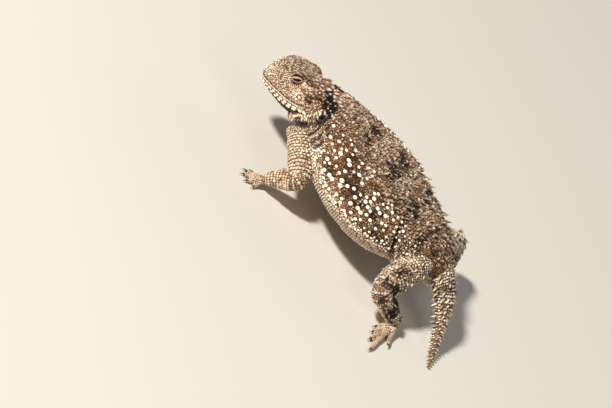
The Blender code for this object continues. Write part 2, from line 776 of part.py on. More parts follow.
def build():
    parts = new_collection("horned_lizard")
    skin = new_material("scaly_skin", SAND, 0.75)
    pale = new_material("pale_scales", PALE, 0.7)
    horn = new_material("horn", HORN, 0.55)
    dark = new_material("eye", DARK, 0.15)

    torso = make_torso()
    eyes = [make_eye(LEFT), make_eye(RIGHT)]
    head = make_head(eyes)
    neck = make_neck(torso, head)
    tail_base, tail_tip = make_tail(torso)
    horns = make_horns(head, neck)
    nodes = {"head": head, "neck": neck, "tail_base": tail_base, "tail_tip": tail_tip}
    for side, word in ((LEFT, "left"), (RIGHT, "right")):
        arm, leg = ARMS[side], LEGS[side]
        upper, lower = make_limb(torso, SHOULDER, arm["elbow"], arm["wrist"], ARM_RADII, side)
        hand = make_foot(lower, arm["wrist"], arm["heading"], FINGERS, FINGER_RADIUS, side, "hand")
        thigh, shin = make_limb(torso, HIP, leg["knee"], leg["ankle"], LEG_RADII, side)
        foot = make_foot(shin, leg["ankle"], leg["heading"], TOES, TOE_RADIUS, side, "foot")
        nodes.update({f"upper_arm_{word}": upper, f"forearm_{word}": lower, f"hand_{word}": hand,
                      f"thigh_{word}": thigh, f"shin_{word}": shin, f"foot_{word}": foot})

    trees = {name: tree_of(obj) for name, obj in {**nodes, **horns, "torso": torso}.items()}

    def others(*own):
        return [tree for name, tree in trees.items() if name not in own]

    spines = {"torso": torso_spines(torso, others("torso")), "neck": neck_spines(neck, others("neck"))}
    up = Vector((0, 0, 1))
    for name, obj in (("tail_base", tail_base), ("tail_tip", tail_tip)):
        spines[name] = path_spines(obj, others(name), TAIL, TAIL_ROWS, TAIL_SPINE_SPACING,
                                   lambda share: 2.3 - 1.7 * share, up, 0.8, 0.36)
    for side, word in ((LEFT, "left"), (RIGHT, "right")):
        arm, leg = ARMS[side], LEGS[side]
        outer = ((20.0, 1.0), (60.0, 0.9))
        for names, root, middle, end, length in (
            (("upper_arm_", "forearm_"), SHOULDER, arm["elbow"], arm["wrist"], 1.1),
            (("thigh_", "shin_"), HIP, leg["knee"], leg["ankle"], 1.5),
        ):
            stations = limb_stations(root, middle, end, side)
            for name in names:
                node = nodes[name + word]
                spines[name + word] = path_spines(node, others(name + word), stations, outer, 3.6,
                                                  lambda share: length, up, 0.8, 0.5)
    nodes["torso"] = torso
    for name, pieces in spines.items():
        join(nodes[name], pieces)
        keep_largest(nodes[name])

    for name, obj in nodes.items():
        finish_node(obj, name, pale if name.startswith(("hand", "foot")) else skin, parts)
    for name, obj in horns.items():
        finish_node(obj, name, horn, parts)
    for eye, word in zip(eyes, ("left", "right")):
        finish_node(eye, f"eye_{word}", dark, parts)


clear_scene()
cutters = new_collection("cutters")
cutters.hide_render = True
build()
remove(cutters.objects)
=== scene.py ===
"""The looks of a life-size greater short-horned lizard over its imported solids.

The animal faces -X, its left side faces -Y and +Z is up. Shapes are worked out in millimetres, with the hips
at x = 0, and in_metres moves finished points into the frame of the solids. One skin stands for the flesh, and
each scale is its own small raised mesh, rooted in that skin and lying along the body.
"""

import itertools
import math

import bmesh
import bpy
import numpy as np
from bpy.props import FloatProperty, FloatVectorProperty, PointerProperty
from mathutils import Matrix, Vector
from mathutils.bvhtree import BVHTree
from mathutils.kdtree import KDTree


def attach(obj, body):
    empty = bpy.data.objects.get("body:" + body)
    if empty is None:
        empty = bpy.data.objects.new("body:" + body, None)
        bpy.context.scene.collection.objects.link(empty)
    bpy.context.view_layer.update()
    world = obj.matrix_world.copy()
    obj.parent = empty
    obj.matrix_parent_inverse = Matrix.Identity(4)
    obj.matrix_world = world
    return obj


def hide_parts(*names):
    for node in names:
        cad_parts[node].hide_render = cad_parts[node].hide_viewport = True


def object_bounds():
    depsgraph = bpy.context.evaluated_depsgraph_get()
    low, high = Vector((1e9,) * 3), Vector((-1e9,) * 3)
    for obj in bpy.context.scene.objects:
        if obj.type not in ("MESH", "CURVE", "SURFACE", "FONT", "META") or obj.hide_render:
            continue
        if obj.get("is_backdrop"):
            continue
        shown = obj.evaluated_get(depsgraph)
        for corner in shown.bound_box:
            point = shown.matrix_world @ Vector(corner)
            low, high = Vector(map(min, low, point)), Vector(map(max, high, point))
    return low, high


bl_info = {
    "name": "Short-horned lizard",
    "version": (1, 0, 0),
    "blender": (4, 5, 0),
    "location": "3D View > Sidebar > Lizard",
    "description": "Skin, scales, horns, eyes and claws over the solids of a life-size horned lizard",
    "category": "Object",
}

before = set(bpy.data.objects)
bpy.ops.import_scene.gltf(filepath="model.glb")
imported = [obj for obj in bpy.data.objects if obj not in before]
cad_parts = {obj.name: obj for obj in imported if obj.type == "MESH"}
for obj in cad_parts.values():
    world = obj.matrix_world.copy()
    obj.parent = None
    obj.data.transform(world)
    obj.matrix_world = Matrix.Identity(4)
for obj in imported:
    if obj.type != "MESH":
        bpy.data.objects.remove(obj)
CAD_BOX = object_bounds()

MM = 0.001
LEFT, RIGHT = -1, 1
SIDES = ((LEFT, "left"), (RIGHT, "right"))
# From the body's own place, with the hips at x = 0, to that of the solids.
SHIFT = np.array((24.45, -0.27, 0.0))
# How far the skin lies inside the flesh, so that its scales reach about as far out as the solids.
COAT_DEPTH = 0.22
# The least distance that the coat keeps from the floor, and from the top of the solids' box.
FLOOR_CLEARANCE = 0.03
# Farther than any two points of the animal are apart.
FAR = 1e3

# The flesh, in the same named sizes as the solids.
TRUNK = (
    (-61.0, 21.9, 9.8, 9.3, 7.6),
    (-57.0, 22.0, 12.0, 9.9, 8.6),
    (-52.0, 21.6, 15.3, 10.6, 9.6),
    (-45.0, 20.9, 19.8, 11.1, 10.9),
    (-37.0, 20.4, 23.6, 11.3, 12.3),
    (-28.5, 19.9, 25.3, 11.7, 12.9),
    (-20.0, 19.4, 24.6, 11.2, 12.6),
    (-12.0, 19.1, 21.4, 10.1, 11.3),
    (-5.0, 19.4, 16.2, 9.1, 9.3),
    (1.0, 19.6, 11.0, 8.2, 7.6),
    (6.0, 18.2, 8.3, 7.0, 6.3),
    (9.5, 16.6, 6.6, 5.9, 5.4),
)
TRUNK_SQUARENESS = 2.25
NECK = (
    (-71.5, 0.0, 17.4, 2.6, 2.2),
    (-69.5, 0.0, 18.4, 5.2, 4.2),
    (-66.0, 0.0, 20.4, 7.8, 7.1),
    (-61.5, 0.0, 21.8, 10.2, 8.9),
    (-55.0, 0.0, 22.4, 12.6, 9.8),
)
TAIL = (
    (4.5, 0.0, 18.6, 7.0, 6.2),
    (9.5, 0.0, 16.5, 6.0, 5.2),
    (15.0, -1.0, 14.4, 4.7, 3.9),
    (18.9, -2.9, 11.6, 3.5, 2.9),
    (21.8, -5.0, 8.6, 2.6, 2.2),
    (24.3, -7.7, 5.6, 2.05, 1.75),
    (26.6, -10.3, 3.2, 1.6, 1.4),
    (28.7, -13.2, 1.3, 1.2, 1.1),
    (30.3, -17.2, 0.55, 0.75, 0.68),
    (30.9, -18.9, 0.42, 0.45, 0.42),
)
STUB_SHARE, STUB_REACH = 1.16, 0.36
SHOULDER = (-55.2, 10.2, 18.0)
ARM_RADII = (4.5, 4.2, 3.5, 3.4, 2.3)
HIP = (1.5, 6.5, 18.6)
LEG_RADII = (4.9, 4.7, 3.6, 3.4, 2.4)
ARMS = {
    LEFT: ((-44.6, 22.6, 11.9), (-52.0, 23.8, 3.1), 219.0),
    RIGHT: ((-43.4, 23.0, 12.1), (-49.6, 25.6, 3.1), 212.0),
}
LEGS = {
    LEFT: ((0.6, 26.0, 10.6), (12.0, 20.6, 3.5), 268.0),
    RIGHT: ((6.4, 26.6, 15.4), (13.2, 22.8, 3.5), 244.0),
}
# Digits from the inner to the outer: angle from the foot's heading, and reach from the wrist or ankle.
FINGERS = ((-44.0, 5.3), (-22.0, 7.1), (0.0, 7.9), (21.0, 7.4), (46.0, 5.7))
TOES = ((-26.0, 8.6), (-15.0, 11.6), (-6.5, 15.4), (2.5, 19.4), (27.0, 9.8))
FINGER_RADIUS, TOE_RADIUS = 0.95, 1.05
CLAW_LENGTH, CLAW_RADIUS = 1.7, 0.42

# Head, in its own frame: x back from the snout tip, z up from the line of the mouth.
HEAD_LENGTH = 21.8
SNOUT_TIP = (-79.6, 0.0, 15.9)
HEAD_PITCH, HEAD_ROLL = math.radians(17.0), math.radians(-9.0)
HEAD_STATIONS = (0.25, 1.0, 2.4, 4.4, 6.8, 9.4, 12.2, 15.0, 17.9, 20.4, 21.8)
MOUTH_HALF_WIDTH = ((0.0, 1.5), (1.0, 3.3), (2.6, 4.7), (5.0, 6.3), (9.4, 8.3), (14.0, 10.1), (17.9, 10.8),
                    (20.4, 10.0), (21.8, 7.0))
BROW_HALF_WIDTH = ((0.0, 1.1), (2.0, 3.0), (4.6, 4.9), (8.0, 6.7), (11.0, 7.3), (14.0, 6.8), (17.9, 5.3),
                   (20.4, 4.5), (21.8, 3.6))
CROWN_HEIGHT = ((0.0, 1.9), (1.0, 4.6), (2.4, 7.0), (4.4, 8.9), (7.3, 10.2), (12.6, 10.0), (17.9, 8.4),
                (20.4, 7.1), (21.8, 5.0))
JAW_DEPTH = ((0.0, 1.0), (1.3, 1.9), (4.4, 3.0), (7.5, 3.8), (15.0, 5.0), (19.2, 4.2), (21.8, 1.4))
EYE_PLACE, EYE_RADIUS = (12.5, 5.6, 6.6), 2.35
EYE_TILT = math.radians(22.0)
# How far from its middle the eyeball shows, before the lids and the socket cover it.
EYE_OPENING = 1.35
BROW = ((7.6, 5.6, 8.0, 0.4, 0.4), (9.6, 6.5, 8.6, 1.1, 0.8), (12.0, 7.1, 9.0, 1.5, 1.0),
        (14.4, 6.8, 9.0, 1.3, 0.9), (16.6, 6.0, 8.6, 0.5, 0.5))
CHEEK = ((16.8, 8.7, 4.9, 2.2, 1.6, 1.6), (19.0, 8.2, 5.4, 2.1, 1.8, 1.7), (20.9, 6.9, 5.8, 1.8, 1.9, 1.6),
         (19.3, 8.8, 3.2, 2.1, 1.6, 1.6))
NOSTRIL_PLACE = (2.3, 2.9, 4.9)
MOUTH_END = 19.0
HORNS = (
    ((19.0, 2.6, 8.3), 2.0, (0.72, 0.10, 0.70)),
    ((18.4, 6.6, 8.6), 2.3, (0.66, 0.40, 0.64)),
    ((22.0, 9.4, 6.4), 1.9, (0.76, 0.56, 0.34)),
    ((19.6, 11.2, 4.2), 1.8, (0.56, 0.84, 0.05)),
)
HORN_RADIUS = 1.3
# Rows of large spines along the back, and of the comb at the edge of the belly: degrees from the middle of
# the back, step along the row, where it starts and ends behind the hips, and jitter as a share of the step.
BACK_ROWS = ((8.0, 23.0, 38.0, 53.0), 3.4, -57.0, 8.0, 0.22)
COMB_ROWS = ((101.0, 106.0), 1.45, -46.0, -3.0, 0.2)
# Scales strewn over the trunk: steps along and round it, first and last degrees from the middle of the back,
# jitter as a share of a step, and where they start and end behind the hips.
THORN_FIELD = (2.1, 2.2, 0, 62, 0.35, -59.0, 9.0)
BEAD_FIELD = (2.25, 2.5, 25, 104, 0.3, -52.5, -2.0)
CRUMB_FIELD = (1.5, 1.35, 84, 106, 0.3, -46.0, -3.0)
# Large pale scales of the nape, behind the head and beside the middle of the back, on one side.
NAPE_LUMPS = ((-63.2, 2.2), (-61.8, 4.6), (-60.6, 1.6), (-58.4, 1.2), (-56.0, 1.4), (-54.2, 4.4),
              (-55.2, 3.0))
NAPE_HEIGHT = 30.5
# Degrees from the middle of the tail's upper side to each row of spines.
TAIL_ANGLES = (16.0, 52.0, 92.0)

# Dark patches of the left side, mirrored to the right: distance behind the hips, degrees down from the middle
# of the back, half length and half width, and strength.
BLOTCHES = (
    (-39.6, 11.0, 2.8, 12.0, 0.8),
    (-35.5, 42.0, 3.6, 11.0, 0.5),
    (-26.0, 12.0, 3.6, 13.0, 0.82),
    (-23.5, 47.0, 4.0, 10.0, 0.45),
    (-12.5, 17.0, 3.0, 13.0, 0.78),
    (-2.0, 24.0, 3.2, 16.0, 0.62),
)


def linear(code):
    """An sRGB hex colour as linear red, green and blue."""
    parts = [int(code[i:i + 2], 16) / 255 for i in (1, 3, 5)]
    return tuple(c / 12.92 if c <= 0.04045 else ((c + 0.055) / 1.055) ** 2.4 for c in parts)


def size_setting(name, about, default):
    return FloatProperty(name=name, description=about, default=default, min=0.0, subtype="DISTANCE",
                         unit="LENGTH")


def colour_setting(name, about, code):
    return FloatVectorProperty(name=name, description=about, default=linear(code), size=3, min=0.0, max=1.0,
                               subtype="COLOR")


class LizardSizes(bpy.types.PropertyGroup):
    """Real sizes of the coat."""
    voxel: size_setting("Skin grain", "Edge of the small faces that the skin is made of", 0.36 * MM)
    back: size_setting("Back scales", "Distance between the small keeled scales of the back", 0.86 * MM)
    flank: size_setting("Flank granules", "Distance between the granules of the flanks", 0.64 * MM)
    belly: size_setting("Belly scales", "Distance between the rows of the belly", 0.92 * MM)
    limb: size_setting("Limb scales", "Distance between the rows of scales of the limbs", 0.98 * MM)
    head: size_setting("Head granules", "Distance between the granules of the head", 0.56 * MM)
    bead: size_setting("Flank beads", "Width of the white beads of the flanks", 1.42 * MM)
    spine: size_setting("Back spines", "Length of the largest pointed scales of the back", 2.6 * MM)


class LizardColours(bpy.types.PropertyGroup):
    """Colours of the skin, the scales and the hard parts."""
    sand: colour_setting("Sand", "Base colour of the back", "#c3a68c")
    rust: colour_setting("Rust", "Warm brown of the flanks and of the lips", "#b07a3e")
    cream: colour_setting("Cream", "Pale scales of the limbs, the belly and the beads", "#f6e7cf")
    soot: colour_setting("Soot", "Dark patches and the gaps between scales", "#1c0f08")
    rose: colour_setting("Rose", "Pinkish tan of the head", "#cfab90")
    horn: colour_setting("Horn", "Keratin of the short horns", "#a26c48")
    claw: colour_setting("Claw", "Keratin of the claws", "#8a5a2c")
    iris: colour_setting("Iris", "Dark brown of the iris", "#24150c")
    mouth: colour_setting("Mouth", "Line between the lips", "#6b2f17")
    floor: colour_setting("Floor", "Paper of the studio floor", "#d9d4cc")


def between(values, t):
    """Catmull-Rom between the middle two of four values."""
    a, b, c, d = values
    return 0.5 * (2 * b + (c - a) * t + (2 * a - 5 * b + 4 * c - d) * t * t + (3 * b - a - 3 * c + d) * t**3)


def smooth_rows(rows, steps):
    """The rows with smooth ones added between them."""
    made = []
    last = len(rows) - 1
    for i in range(last):
        four = [rows[max(i - 1, 0)], rows[i], rows[i + 1], rows[min(i + 2, last)]]
        for step in range(steps):
            made.append(tuple(between(column, step / steps) for column in zip(*four)))
    made.append(tuple(rows[-1]))
    return np.array(made, float)


def value_at(profile, x):
    """Reads a profile of (x, value) pairs, smoothly between its points."""
    rows = smooth_rows(profile, 8)
    return np.interp(x, rows[:, 0], rows[:, 1])


def mirrored(place, side):
    """A place or way given for one side, on the side asked for."""
    return np.array((place[0], place[1] * side, place[2]), float)


def unit(ways):
    """Each way with length one."""
    return ways / np.maximum(np.linalg.norm(ways, axis=-1, keepdims=True), 1e-9)


def ease(values, low, high):
    """Rises smoothly from 0 at low to 1 at high."""
    t = np.clip((values - low) / (high - low), 0.0, 1.0)
    return t * t * (3 - 2 * t)


def bump(values, centre, half):
    """A smooth hill of height 1 round the centre."""
    return np.exp(-(((values - centre) / half) ** 2))


def noise(points, size, seed):
    """Smooth random values from 0 to 1 in space, with lumps about that many millimetres across."""
    places = np.asarray(points) / size + 100.0
    cell = np.floor(places).astype(np.int64)
    part = places - cell
    part = part * part * (3 - 2 * part)
    total = np.zeros(len(places))
    for corner in itertools.product((0, 1), repeat=3):
        at = cell + np.array(corner)
        mixed = (at[:, 0] * 73856093) ^ (at[:, 1] * 19349663) ^ (at[:, 2] * 83492791) ^ (seed * 2654435761)
        mixed = (mixed ^ (mixed >> 13)) * 1274126177 & 0xFFFFFFFF
        mixed = (mixed ^ (mixed >> 15)) & 0xFFFF
        share = np.prod(np.where(np.array(corner) == 1, part, 1 - part), axis=1)
        total += share * mixed / 65535.0
    return total


def head_matrix():
    pitch = Matrix.Rotation(-HEAD_PITCH, 4, "Y")
    roll = Matrix.Rotation(HEAD_ROLL, 4, "X")
    return np.array(Matrix.Translation(SNOUT_TIP) @ pitch @ roll)


HEAD = head_matrix()
HEAD_BACK = np.linalg.inv(HEAD)


def from_head(points):
    """Points of the head's own frame, in the body's."""
    return np.asarray(points, float) @ HEAD[:3, :3].T + HEAD[:3, 3]


def to_head(points):
    """Points of the body's frame, in the head's own."""
    return np.asarray(points, float) @ HEAD_BACK[:3, :3].T + HEAD_BACK[:3, 3]


def head_way(way):
    return np.asarray(way, float) @ HEAD[:3, :3].T


def in_metres(points):
    """Finished points, moved into the frame of the solids."""
    return (np.asarray(points, float) + SHIFT) * MM


# ---- flesh as closed tubes, balls and shells ----


def path_frames(rows, up):
    """The way ahead, the side and the top of a path at each of its rows."""
    centres = rows[:, :3]
    steps = (centres[1:2] - centres[:1], centres[2:] - centres[:-2], centres[-1:] - centres[-2:-1])
    ahead = unit(np.vstack(steps))
    side = unit(np.cross(ahead, np.asarray(up, float)))
    return ahead, side, np.cross(side, ahead)


def travelled_along(points):
    """The length of each part of a bent line, and how far along it each of its points lies."""
    lengths = np.linalg.norm(np.diff(points, axis=0), axis=1)
    return lengths, np.concatenate([[0.0], np.cumsum(lengths)])


def turns_of(count):
    """Evenly spaced turns round a circle."""
    return np.arange(count) * 2 * math.pi / count


def oval(centre, across, up, width, height, turns):
    """Points of an oval round a centre."""
    return centre + across * (np.cos(turns) * width)[:, None] + up * (np.sin(turns) * height)[:, None]


def ring_walls(rings, count):
    """Quads between rings of that many points."""
    faces = []
    for i in range(rings - 1):
        for k in range(count):
            after = (k + 1) % count
            faces.append((i * count + k, i * count + after, (i + 1) * count + after, (i + 1) * count + k))
    return faces


def ring_faces(rings, count):
    """The walls between rings, and a cap at each end."""
    last = range((rings - 1) * count, rings * count)
    return [*ring_walls(rings, count), tuple(range(count)), tuple(reversed(last))]


def tube(stations, up, sides, steps):
    """A closed solid of oval sections along a smooth path of (x, y, z, half width, half height)."""
    rows = smooth_rows(stations, steps)
    _, side, top = path_frames(rows, up)
    turns = turns_of(sides)
    points = [oval(row[:3], across, up_there, row[3], row[4], turns)
              for row, across, up_there in zip(rows, side, top)]
    return np.vstack(points), ring_faces(len(rows), sides)


def ball(place, size, segments=20):
    bm = bmesh.new()
    bmesh.ops.create_uvsphere(bm, u_segments=segments, v_segments=segments * 2 // 3, radius=1.0)
    points = np.array([vert.co for vert in bm.verts]) * np.asarray(size) + np.asarray(place)
    faces = [tuple(vert.index for vert in face.verts) for face in bm.faces]
    bm.free()
    return points, faces


TRUNK_ROWS = smooth_rows(TRUNK, 8)
TRUNK_POWER = 2.0 / TRUNK_SQUARENESS
TRUNK_SIDES = 48


def trunk_section(x):
    """The trunk's centre height, half width, and half heights above and below the centre, at a distance."""
    return tuple(np.interp(x, TRUNK_ROWS[:, 0], column) for column in TRUNK_ROWS.T[1:])


def trunk_oval(across, upward, width, above, below):
    """Places on the trunk's squared oval, from the sideways and upward parts of their turns."""
    y = np.copysign(np.abs(across) ** TRUNK_POWER, across) * width
    z = np.copysign(np.abs(upward) ** TRUNK_POWER, upward) * np.where(upward > 0, above, below)
    return y, z


def trunk_shell():
    rows = smooth_rows(TRUNK, 4)
    turns = turns_of(TRUNK_SIDES)
    points = []
    for x, height, width, above, below in rows:
        y, z = trunk_oval(np.cos(turns), np.sin(turns), width, above, below)
        points.append(np.column_stack([np.full(TRUNK_SIDES, x), y, height + z]))
    return np.vstack(points), ring_faces(len(rows), TRUNK_SIDES)


def head_cage():
    """The coarse cage of the head, from its profiles."""
    points = []
    for x in HEAD_STATIONS:
        mouth, brow = value_at(MOUTH_HALF_WIDTH, x), value_at(BROW_HALF_WIDTH, x)
        crown, jaw = value_at(CROWN_HEIGHT, x), value_at(JAW_DEPTH, x)
        one_side = (
            (0.48 * mouth, -1.02 * jaw),
            (0.84 * mouth, -0.86 * jaw),
            (0.99 * mouth, -0.34 * jaw),
            (1.03 * mouth, 0.10 * crown),
            (0.72 * mouth + 0.30 * brow, 0.42 * crown),
            (0.22 * mouth + 0.74 * brow, 0.72 * crown),
            (1.03 * brow, 0.98 * crown),
            (0.52 * brow, 1.04 * crown),
        )
        ring = [(0.0, -1.06 * jaw), *one_side, (0.0, 1.0 * crown)]
        ring += [(-y, z) for y, z in reversed(one_side)]
        points += [(x - 0.25, y, z) for y, z in ring]
    return np.array(points, float), ring_faces(len(HEAD_STATIONS), len(ring))


def applied(obj):
    """Applies the modifiers and gives the points and faces that come of them, dropping the object."""
    depsgraph = bpy.context.evaluated_depsgraph_get()
    mesh = obj.evaluated_get(depsgraph).to_mesh()
    points = np.zeros(len(mesh.vertices) * 3)
    mesh.vertices.foreach_get("co", points)
    faces = [tuple(face.vertices) for face in mesh.polygons]
    obj.evaluated_get(depsgraph).to_mesh_clear()
    data = obj.data
    bpy.data.objects.remove(obj)
    bpy.data.meshes.remove(data)
    return points.reshape(-1, 3), faces


def scratch_object(points, faces):
    mesh = bpy.data.meshes.new("flesh")
    mesh.from_pydata(points.tolist(), [], [tuple(map(int, face)) for face in faces])
    obj = bpy.data.objects.new("flesh", mesh)
    bpy.context.scene.collection.objects.link(obj)
    return obj


def head_shell():
    obj = scratch_object(*head_cage())
    rounding = obj.modifiers.new("round", "SUBSURF")
    rounding.levels = 2
    points, faces = applied(obj)
    return from_head(points), faces


def mouth_line(rise, reach, steps):
    """Points along the line of the mouth, from the left corner to the right, raised by that much."""
    share = np.linspace(-1.0, 1.0, steps)
    away = np.abs(share)
    x = reach * away**1.6
    y = np.sign(share) * value_at(MOUTH_HALF_WIDTH, x) * 0.985
    z = 0.25 - 0.5 * away + 0.9 * away**6 + rise
    return np.column_stack([x - 0.12 * (1 - away), y, z])


def limb_rows(root, middle, end, radii, side):
    root, middle, end = mirrored(root, side), mirrored(middle, side), mirrored(end, side)
    down = (end - middle) / np.linalg.norm(end - middle)
    bulge = 1.06
    return (
        (*root, radii[0], radii[0] * 0.95),
        (*(root * 0.5 + middle * 0.5), radii[1] * bulge, radii[1]),
        (*middle, radii[2], radii[2]),
        (*(middle * 0.62 + end * 0.38), radii[3] * bulge, radii[3]),
        (*(end - down * 0.4), radii[4], radii[4]),
    )


def digit_rows(root, heading, digits, radius, side):
    """The stations of each digit, and the place and way of its claw."""
    root = mirrored(root, side)
    made = []
    for turn, reach in digits:
        angle = math.radians(heading + turn)
        way = np.array((math.cos(angle), -side * math.sin(angle), 0.0))
        floor = radius * 0.72
        tip = root + way * (reach - 1.0)
        knuckle = root + way * min(reach * 0.42, 5.0)
        middle = root * 0.3 + tip * 0.7
        rows = (
            (*(root - way * 0.6), radius * 1.5, radius * 1.4),
            (knuckle[0], knuckle[1], floor + 0.75, radius * 1.12, radius * 1.08),
            (middle[0], middle[1], floor + 0.12, radius * 0.9, radius * 0.9),
            (tip[0], tip[1], floor - 0.02, radius * 0.72, radius * 0.74),
        )
        made.append((rows, np.array((tip[0], tip[1], floor * 0.95)), way))
    return made


def all_limbs():
    """Each limb: its name, side, joint places, radii, heading, digits and their radius."""
    for side, word in SIDES:
        elbow, wrist, heading = ARMS[side]
        yield "arm_" + word, side, (SHOULDER, elbow, wrist), ARM_RADII, heading, FINGERS, FINGER_RADIUS
        knee, ankle, heading = LEGS[side]
        yield "leg_" + word, side, (HIP, knee, ankle), LEG_RADII, heading, TOES, TOE_RADIUS


def flesh_pieces():
    """Every closed piece of flesh that the skin is drawn over."""
    pieces = [trunk_shell(), tube(NECK, (0, 0, 1), 28, 3), tube(TAIL, (0, 0, 1), 24, 4), head_shell()]
    for _, side, (root, middle, end), radii, heading, digits, radius in all_limbs():
        up = (0.2, 0.1 * side, 1.0)
        start, bend = mirrored(root, side), mirrored(middle, side)
        width = radii[0] * STUB_SHARE
        far = start * (1 - STUB_REACH) + bend * STUB_REACH
        stub = ((*start, width, width), (*far, radii[1] * STUB_SHARE, radii[1] * STUB_SHARE))
        pieces.append(ball(start, (radii[0] * 1.3,) * 3, 24))
        pieces.append(tube(stub, up, 24, 3))
        pieces.append(tube(limb_rows(root, middle, end, radii, side), up, 20, 6))
        tips = []
        for rows, tip, _ in digit_rows(end, heading, digits, radius, side):
            pieces.append(tube(rows, (0, 0, 1), 12, 4))
            tips.append(tip)
        wrist = mirrored(end, side)
        palm = wrist + (np.mean(tips, axis=0) - wrist) * 0.22
        pieces.append(ball((palm[0], palm[1], 1.15), (radius * 2.5, radius * 2.5, 1.45), 20))
    for side, _ in SIDES:
        sided = [(x, y * side, z, w, h) for x, y, z, w, h in BROW]
        points, faces = tube(sided, (0, 0, 1), 14, 4)
        pieces.append((from_head(points), faces))
        for x, y, z, *size in CHEEK:
            points, faces = ball((x, y * side, z), size)
            pieces.append((from_head(points), faces))
    lip = [(*point, 0.6, 0.6) for point in mouth_line(0.8, MOUTH_END - 1.0, 15)]
    points, faces = tube(lip, (0, 0, 1), 10, 1)
    pieces.append((from_head(points), faces))
    return pieces


def melted(pieces, voxel):
    """One closed skin of small squares over all the pieces."""
    points, faces, count = [], [], 0
    for some, more in pieces:
        points.append(some)
        faces += [tuple(count + i for i in face) for face in more]
        count += len(some)
    obj = scratch_object(np.vstack(points), faces)
    melt = obj.modifiers.new("melt", "REMESH")
    melt.mode = "VOXEL"
    melt.voxel_size = voxel
    soften = obj.modifiers.new("soften", "SMOOTH")
    soften.factor = 0.5
    soften.iterations = 3
    return applied(obj)


# ---- where a point lies on the body ----

DIGITS = ("arm_left_digits", "arm_right_digits", "leg_left_digits", "leg_right_digits")
OWNERS = ("trunk", "neck", "head", "tail", "arm_left", "arm_right", "leg_left", "leg_right", *DIGITS)
OWNER = {name: i for i, name in enumerate(OWNERS)}


def owner_paths():
    """The smooth paths of each owner that is a tube."""
    paths = {"neck": [(smooth_rows(NECK, 4), (0, 0, 1))], "tail": [(smooth_rows(TAIL, 6), (0, 0, 1))]}
    for name, side, (root, middle, end), radii, heading, digits, radius in all_limbs():
        up = (0.2, 0.1 * side, 1.0)
        paths[name] = [(smooth_rows(limb_rows(root, middle, end, radii, side), 6), up)]
        fans = digit_rows(end, heading, digits, radius, side)
        paths[name + "_digits"] = [(smooth_rows(rows, 3), (0, 0, 1)) for rows, _, _ in fans]
    return paths


PATHS = owner_paths()


def near_path(points, rows, up):
    """How far each point lies outside a tube, its share along it, its angle round it, and the way it runs."""
    count = len(points)
    found = {"outside": np.full(count, FAR), "share": np.zeros(count), "angle": np.zeros(count),
             "lie": np.tile((1.0, 0.0, 0.0), (count, 1))}
    margin = rows[:, 3].max() + 5.0
    near = np.all((points > rows[:, :3].min(0) - margin) & (points < rows[:, :3].max(0) + margin), axis=1)
    if not near.any():
        return found
    some = points[near]
    lengths, travelled = travelled_along(rows[:, :3])
    ahead, side, top = path_frames(rows, up)
    best = np.full(len(some), FAR)
    share, angle, lie = np.zeros(len(some)), np.zeros(len(some)), np.zeros((len(some), 3))
    for i in range(len(rows) - 1):
        step = rows[i + 1, :3] - rows[i, :3]
        t = np.clip((some - rows[i, :3]) @ step / max(step @ step, 1e-9), 0.0, 1.0)
        off = some - rows[i, :3] - t[:, None] * step
        radius = rows[i, 3:5].mean() * (1 - t) + rows[i + 1, 3:5].mean() * t
        outside = np.linalg.norm(off, axis=1) - radius
        closer = outside < best
        best[closer] = outside[closer]
        share[closer] = ((travelled[i] + t * lengths[i]) / travelled[-1])[closer]
        angle[closer] = np.degrees(np.arctan2(off @ side[i], off @ top[i]))[closer]
        lie[closer] = ahead[i]
    found["outside"][near], found["share"][near] = best, share
    found["angle"][near], found["lie"][near] = angle, lie
    return found


def near_trunk(points):
    x = points[:, 0]
    front, back = TRUNK_ROWS[0, 0], TRUNK_ROWS[-1, 0]
    height, width, above, below = trunk_section(x)
    z = points[:, 2] - height
    level = np.where(z > 0, above, below)
    reach = (np.abs(points[:, 1]) / width) ** TRUNK_SQUARENESS + (np.abs(z) / level) ** TRUNK_SQUARENESS
    reach = reach ** (1 / TRUNK_SQUARENESS)
    ends = np.maximum(x - back, 0.0) + np.maximum(front - x, 0.0)
    return {"outside": (reach - 1) * np.minimum(width, level) * 0.9 + 2.0 * ends,
            "share": (x - front) / (back - front),
            "angle": np.degrees(np.arctan2(points[:, 1] / width, z / level)),
            "lie": np.tile((1.0, 0.0, 0.0), (len(points), 1))}


def near_head(points):
    local = to_head(points)
    x = np.clip(local[:, 0], 0.0, HEAD_LENGTH)
    mouth, brow = value_at(MOUTH_HALF_WIDTH, x), value_at(BROW_HALF_WIDTH, x)
    crown, jaw = value_at(CROWN_HEIGHT, x), value_at(JAW_DEPTH, x)
    rise = np.clip(local[:, 2] / crown, 0.0, 1.0)
    width = mouth + (brow - mouth) * rise
    level = np.where(local[:, 2] > 0, crown, jaw)
    reach = ((np.abs(local[:, 1]) / width) ** 3 + (np.abs(local[:, 2]) / level) ** 3) ** (1 / 3)
    ends = np.maximum(local[:, 0] - 21.2, 0.0) + np.maximum(-local[:, 0], 0.0)
    back = head_way((1.0, 0.0, 0.0))
    return {"outside": (reach - 1) * np.minimum(width, level) * 0.9 + 1.2 * ends,
            "share": np.clip(local[:, 0] / HEAD_LENGTH, 0, 1),
            "angle": np.degrees(np.arctan2(local[:, 1] / width, local[:, 2] / level)),
            "lie": np.tile(back, (len(points), 1))}


